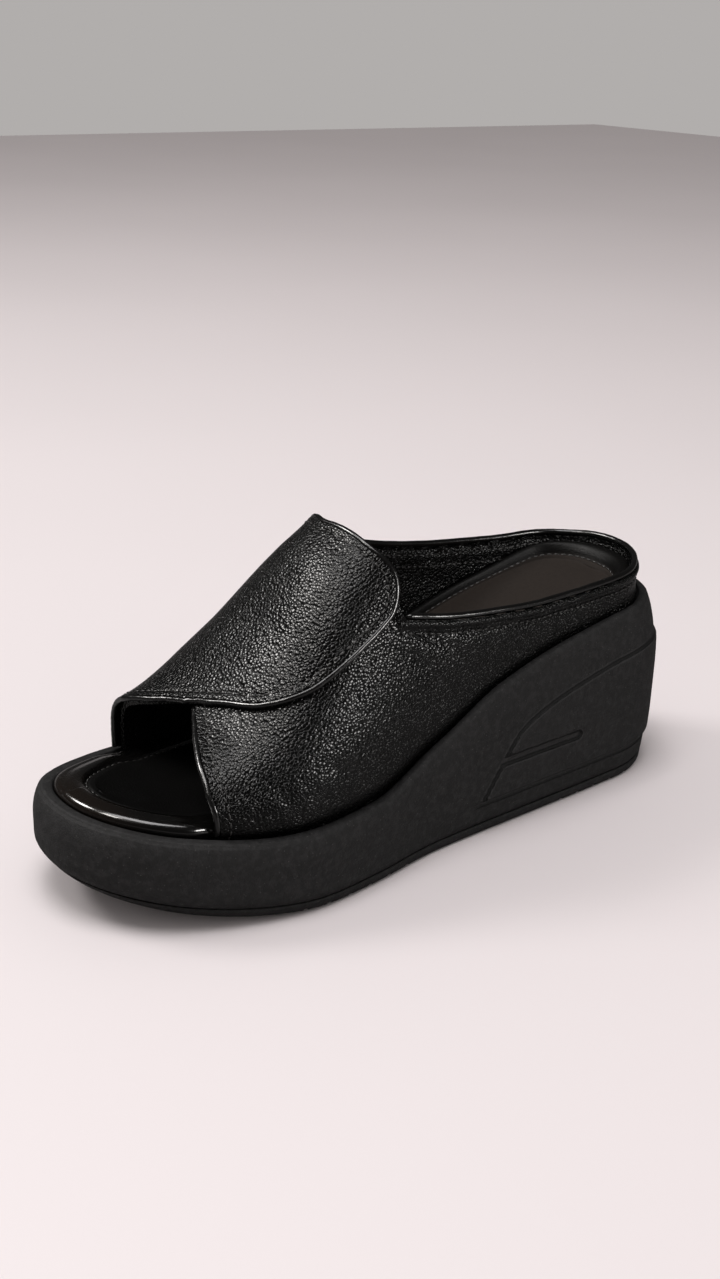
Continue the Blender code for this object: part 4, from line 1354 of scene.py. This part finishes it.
# %% Lay the piping
collar_reach = collar_path(reach=0.538)
topline = framed(*collar_reach, beyond=PIPING / 2, lift=-WALL / 2)
piping("topline_piping", topline, PIPING / 2 + 0.1, "topline_binding")
front_rows = slice(1, BELT_COUNT + CROWN_COUNT // 2)
toe_front = framed(np.array(toe_rim[front_rows]), np.array(toe_inside[front_rows]), 0.9, -0.9)
piping("toe_piping", toe_front, PIPING / 2, "toe_binding")
flap_bead = framed(flap_rim, flap_inside, beyond=0.8, lift=-FLAP_WALL / 2)
piping("flap_piping", flap_bead, FLAP_PIPING / 2 + 0.15, "flap_binding")

# %% [markdown]
# ## Stitches
# A row of stitches repeats along a path, so Geometry Nodes make it: the path becomes a curve,
# the curve is resampled at the stitch length, and a small grain of thread is set at each point
# along the curve's direction. One tree serves every row, with its pitch and thread as inputs.


# %% The stitch tree
def stitch_tree():
    """A node group that lays stitches along a path."""
    group = bpy.data.node_groups.new("Stitch row", "GeometryNodeTree")
    inputs = {"Geometry": "Geometry", "Pitch": "Float", "Stitch Length": "Float"}
    inputs.update({"Thread Radius": "Float", "Thread": "Material"})
    for name, kind in inputs.items():
        group.interface.new_socket(name, in_out="INPUT", socket_type="NodeSocket" + kind)
    group.interface.new_socket("Geometry", in_out="OUTPUT", socket_type="NodeSocketGeometry")
    node = Nodes(group).node
    given = node("NodeGroupInput")
    curve = node("GeometryNodeMeshToCurve", given)
    steps = {"mode": "LENGTH", "Length": given.twin("Pitch")}
    points = node("GeometryNodeCurveToPoints", curve, **steps)
    radius = given.twin("Thread Radius")
    size = node("ShaderNodeCombineXYZ", radius, radius, given.twin("Stitch Length") * 0.5)
    grain = node("GeometryNodeMeshUVSphere", Segments=8, Rings=6, Radius=1.0)
    laid = {"Instance": grain, "Rotation": points.twin("Rotation"), "Scale": size}
    rows = node("GeometryNodeInstanceOnPoints", points, **laid)
    rows = node("GeometryNodeSetShadeSmooth", node("GeometryNodeRealizeInstances", rows))
    rows = node("GeometryNodeSetMaterial", rows, Material=given.twin("Thread"))
    group.links.new(rows.socket, group.nodes.new("NodeGroupOutput").inputs[0])
    return group


STITCHES = stitch_tree()
SOCKETS = {item.name: item.identifier for item in STITCHES.interface.items_tree}
STITCH = {"Pitch": 2.8 * MM, "Stitch Length": 2.0 * MM, "Thread Radius": 0.34 * MM}
print("inputs of a row:", ", ".join(STITCH))


def stitch_row(name, path, slot="leather"):
    """A row of stitches along a path in mm."""
    mesh = bpy.data.meshes.new(name)
    edges = [(i, i + 1) for i in range(len(path) - 1)]
    mesh.from_pydata((np.asarray(path) * MM).tolist(), edges, [])
    piece = add_object(name, mesh)
    rows = piece.modifiers.new("Stitches", "NODES")
    rows.node_group = STITCHES
    for socket, value in (*STITCH.items(), ("Thread", thread_black)):
        rows[SOCKETS[socket]] = value
    return dress(settle(piece), slot)


# %% Rows on the upper and the flap
stitch_row("collar_stitches", framed(*collar_path(4.4, reach=0.535), lift=0.0))
front_edge = [np.array(column[front_rows]) for column in (toe_rim, toe_inside)]
stitch_row("toe_edge_stitches", framed(*front_edge, beyond=-3.2, lift=-0.1))
stitch_row("flap_stitches", framed(flap_rim, flap_inside, beyond=-2.4, lift=-0.05))
for number, below in enumerate((3.2, 8.0)):
    rims, insides = collar_path(below, reach=0.53)
    stitch_row(f"lining_stitches_{number}", framed(rims, insides, 0.0, -WALL - 0.1)[125:])


# %% Rows on the insole
def insole_path(part, first, last):
    """A path on the insole's border, round the end between two stations."""
    stations = ring_stations(160)
    stations = stations[(stations >= first) & (stations <= last)]
    sides = []
    for side in SIDE_NAMES:
        plan = inset_point(side, stations, insole_base(stations) + border_inset(stations, part))
        height = insole_top(share_along(plan), side, part) + 0.15
        sides.append(np.column_stack([plan, height]))
    if last == 1:
        return np.vstack([sides[0], sides[1][::-1][1:]])
    return np.vstack([sides[0][::-1], sides[1][1:]])


stitch_row("insole_toe_stitches", insole_path(STITCH_AT, 0.66, 1), slot="insole")
stitch_row("insole_heel_stitches", insole_path(STITCH_AT, 0, 0.60), slot="insole")

# %% [markdown]
# ## Floor, light and camera
# The shoe stands on a plain pale floor. A broad key light from the inner side and the front
# throws the soft shadow to the heel's right, a wide panel overhead softens it, and an even room
# fills the rest. Three small panels are seen only in reflections: they draw the highlights on
# the vamp, the side and the toe roll and leave the floor alone. Black leather mirrors the pale
# room around it and would turn grey, so the floor and the room are darker in reflections than
# to the eye. The camera has the photograph's place and lens, which were worked out from the
# shoe's own edges.

# %% Floor
PALE, PALE_MIRRORED = (0.80, 0.745, 0.755), (0.20, 0.19, 0.19)
floor_finish = Finish("pale floor", PALE, 0.5)
floor_finish.set("Roughness", 0.5 + floor_finish.noise(3, 2.0) * 0.1)
mirrored = floor_finish.node("ShaderNodeLightPath", output="Is Glossy Ray")
floor_finish.set("Base Color", floor_finish.mix(mirrored, PALE, PALE_MIRRORED))


def build_floor(size=6.0):
    """A plain plane at the height of the sole's underside."""
    mesh = bpy.data.meshes.new("floor")
    half = size / 2
    corners = [(-half, -half, 0), (half, -half, 0), (half, half, 0), (-half, half, 0)]
    mesh.from_pydata(corners, [], [(0, 1, 2, 3)])
    mesh.materials.append(floor_finish.material)
    piece = add_object("floor", mesh)
    return piece


floor = build_floor()

# %% Lights
PANELS = table(
    "name azimuth elevation distance width height power colour on_floor",
    ("key", 42, 43, 2.00, 0.60, 0.46, 12.0, (1.0, 0.97, 0.95), True),
    ("overhead", 110, 80, 2.00, 1.00, 1.00, 23.5, (1.0, 0.98, 0.98), True),
    ("vamp gloss", 54, 48, 1.30, 0.40, 0.35, 13.0, (1.0, 0.97, 0.94), False),
    ("toe gloss", 98, 53, 1.20, 0.26, 0.26, 5.0, (1.0, 0.96, 0.92), False),
    ("side gloss", 204, 19, 1.10, 0.40, 0.20, 7.5, (1.0, 0.97, 0.95), False),
)
AIM = Vector((0, 0, 0.05))


def add_panel(panel):
    """A wide area light in a direction from the shoe, aimed at it."""
    light = bpy.data.lights.new(panel.name, "AREA")
    light.shape = "RECTANGLE"
    light.size, light.size_y = panel.width, panel.height
    light.energy = panel.power
    light.color = panel.colour
    lamp = add_object(panel.name, light)
    lamp.visible_diffuse = panel.on_floor
    turn, rise = math.radians(panel.azimuth), math.radians(panel.elevation)
    level = math.cos(rise)
    away = Vector((math.cos(turn) * level, math.sin(turn) * level, math.sin(rise)))
    lamp.location = AIM + away * panel.distance
    lamp.rotation_euler = away.to_track_quat("Z", "Y").to_euler()


for panel in PANELS:
    add_panel(panel)
print("panels:", ", ".join(panel.name for panel in PANELS))


def build_world(light, mirrored):
    """An even room: one strength of light on the floor, and a darker one in reflections."""
    world = bpy.data.worlds.new("studio")
    world.use_nodes = True
    room = Nodes(world.node_tree)
    glossy = room.node("ShaderNodeLightPath", output="Is Glossy Ray")
    colour, strength = world.node_tree.nodes["Background"].inputs[:2]
    room.feed(colour, (1.0, 0.96, 0.94, 1))
    room.feed(strength, room.node("ShaderNodeMapRange", glossy, 0, 1, light, mirrored))
    bpy.context.scene.world = world


build_world(0.44, 0.04)
bpy.context.scene.view_settings.view_transform = "Standard"

# %% Camera
CAMERA_PLACE = (-0.38829, 0.29303, 0.26834)
CAMERA_RIGHT = (-0.58252, -0.81234, 0.02771)
CAMERA_UP = (0.32634, -0.20253, 0.92330)
FOCAL_PIXELS = 1495.5
IMAGE_HEIGHT = 1279


def build_camera():
    """The photograph's camera, turned by its right and up directions."""
    data = bpy.data.cameras.new("camera")
    data.sensor_width = 36.0
    data.lens = FOCAL_PIXELS / IMAGE_HEIGHT * data.sensor_width
    data.clip_start = 0.01
    camera = add_object("camera", data)
    right, up = Vector(CAMERA_RIGHT).normalized(), Vector(CAMERA_UP).normalized()
    turn = Matrix((right, up, right.cross(up))).transposed()
    camera.matrix_world = Matrix.Translation(CAMERA_PLACE) @ turn.to_4x4()
    bpy.context.scene.camera = camera
    return camera


camera = build_camera()
print("lens in mm:", round(camera.data.lens, 2))
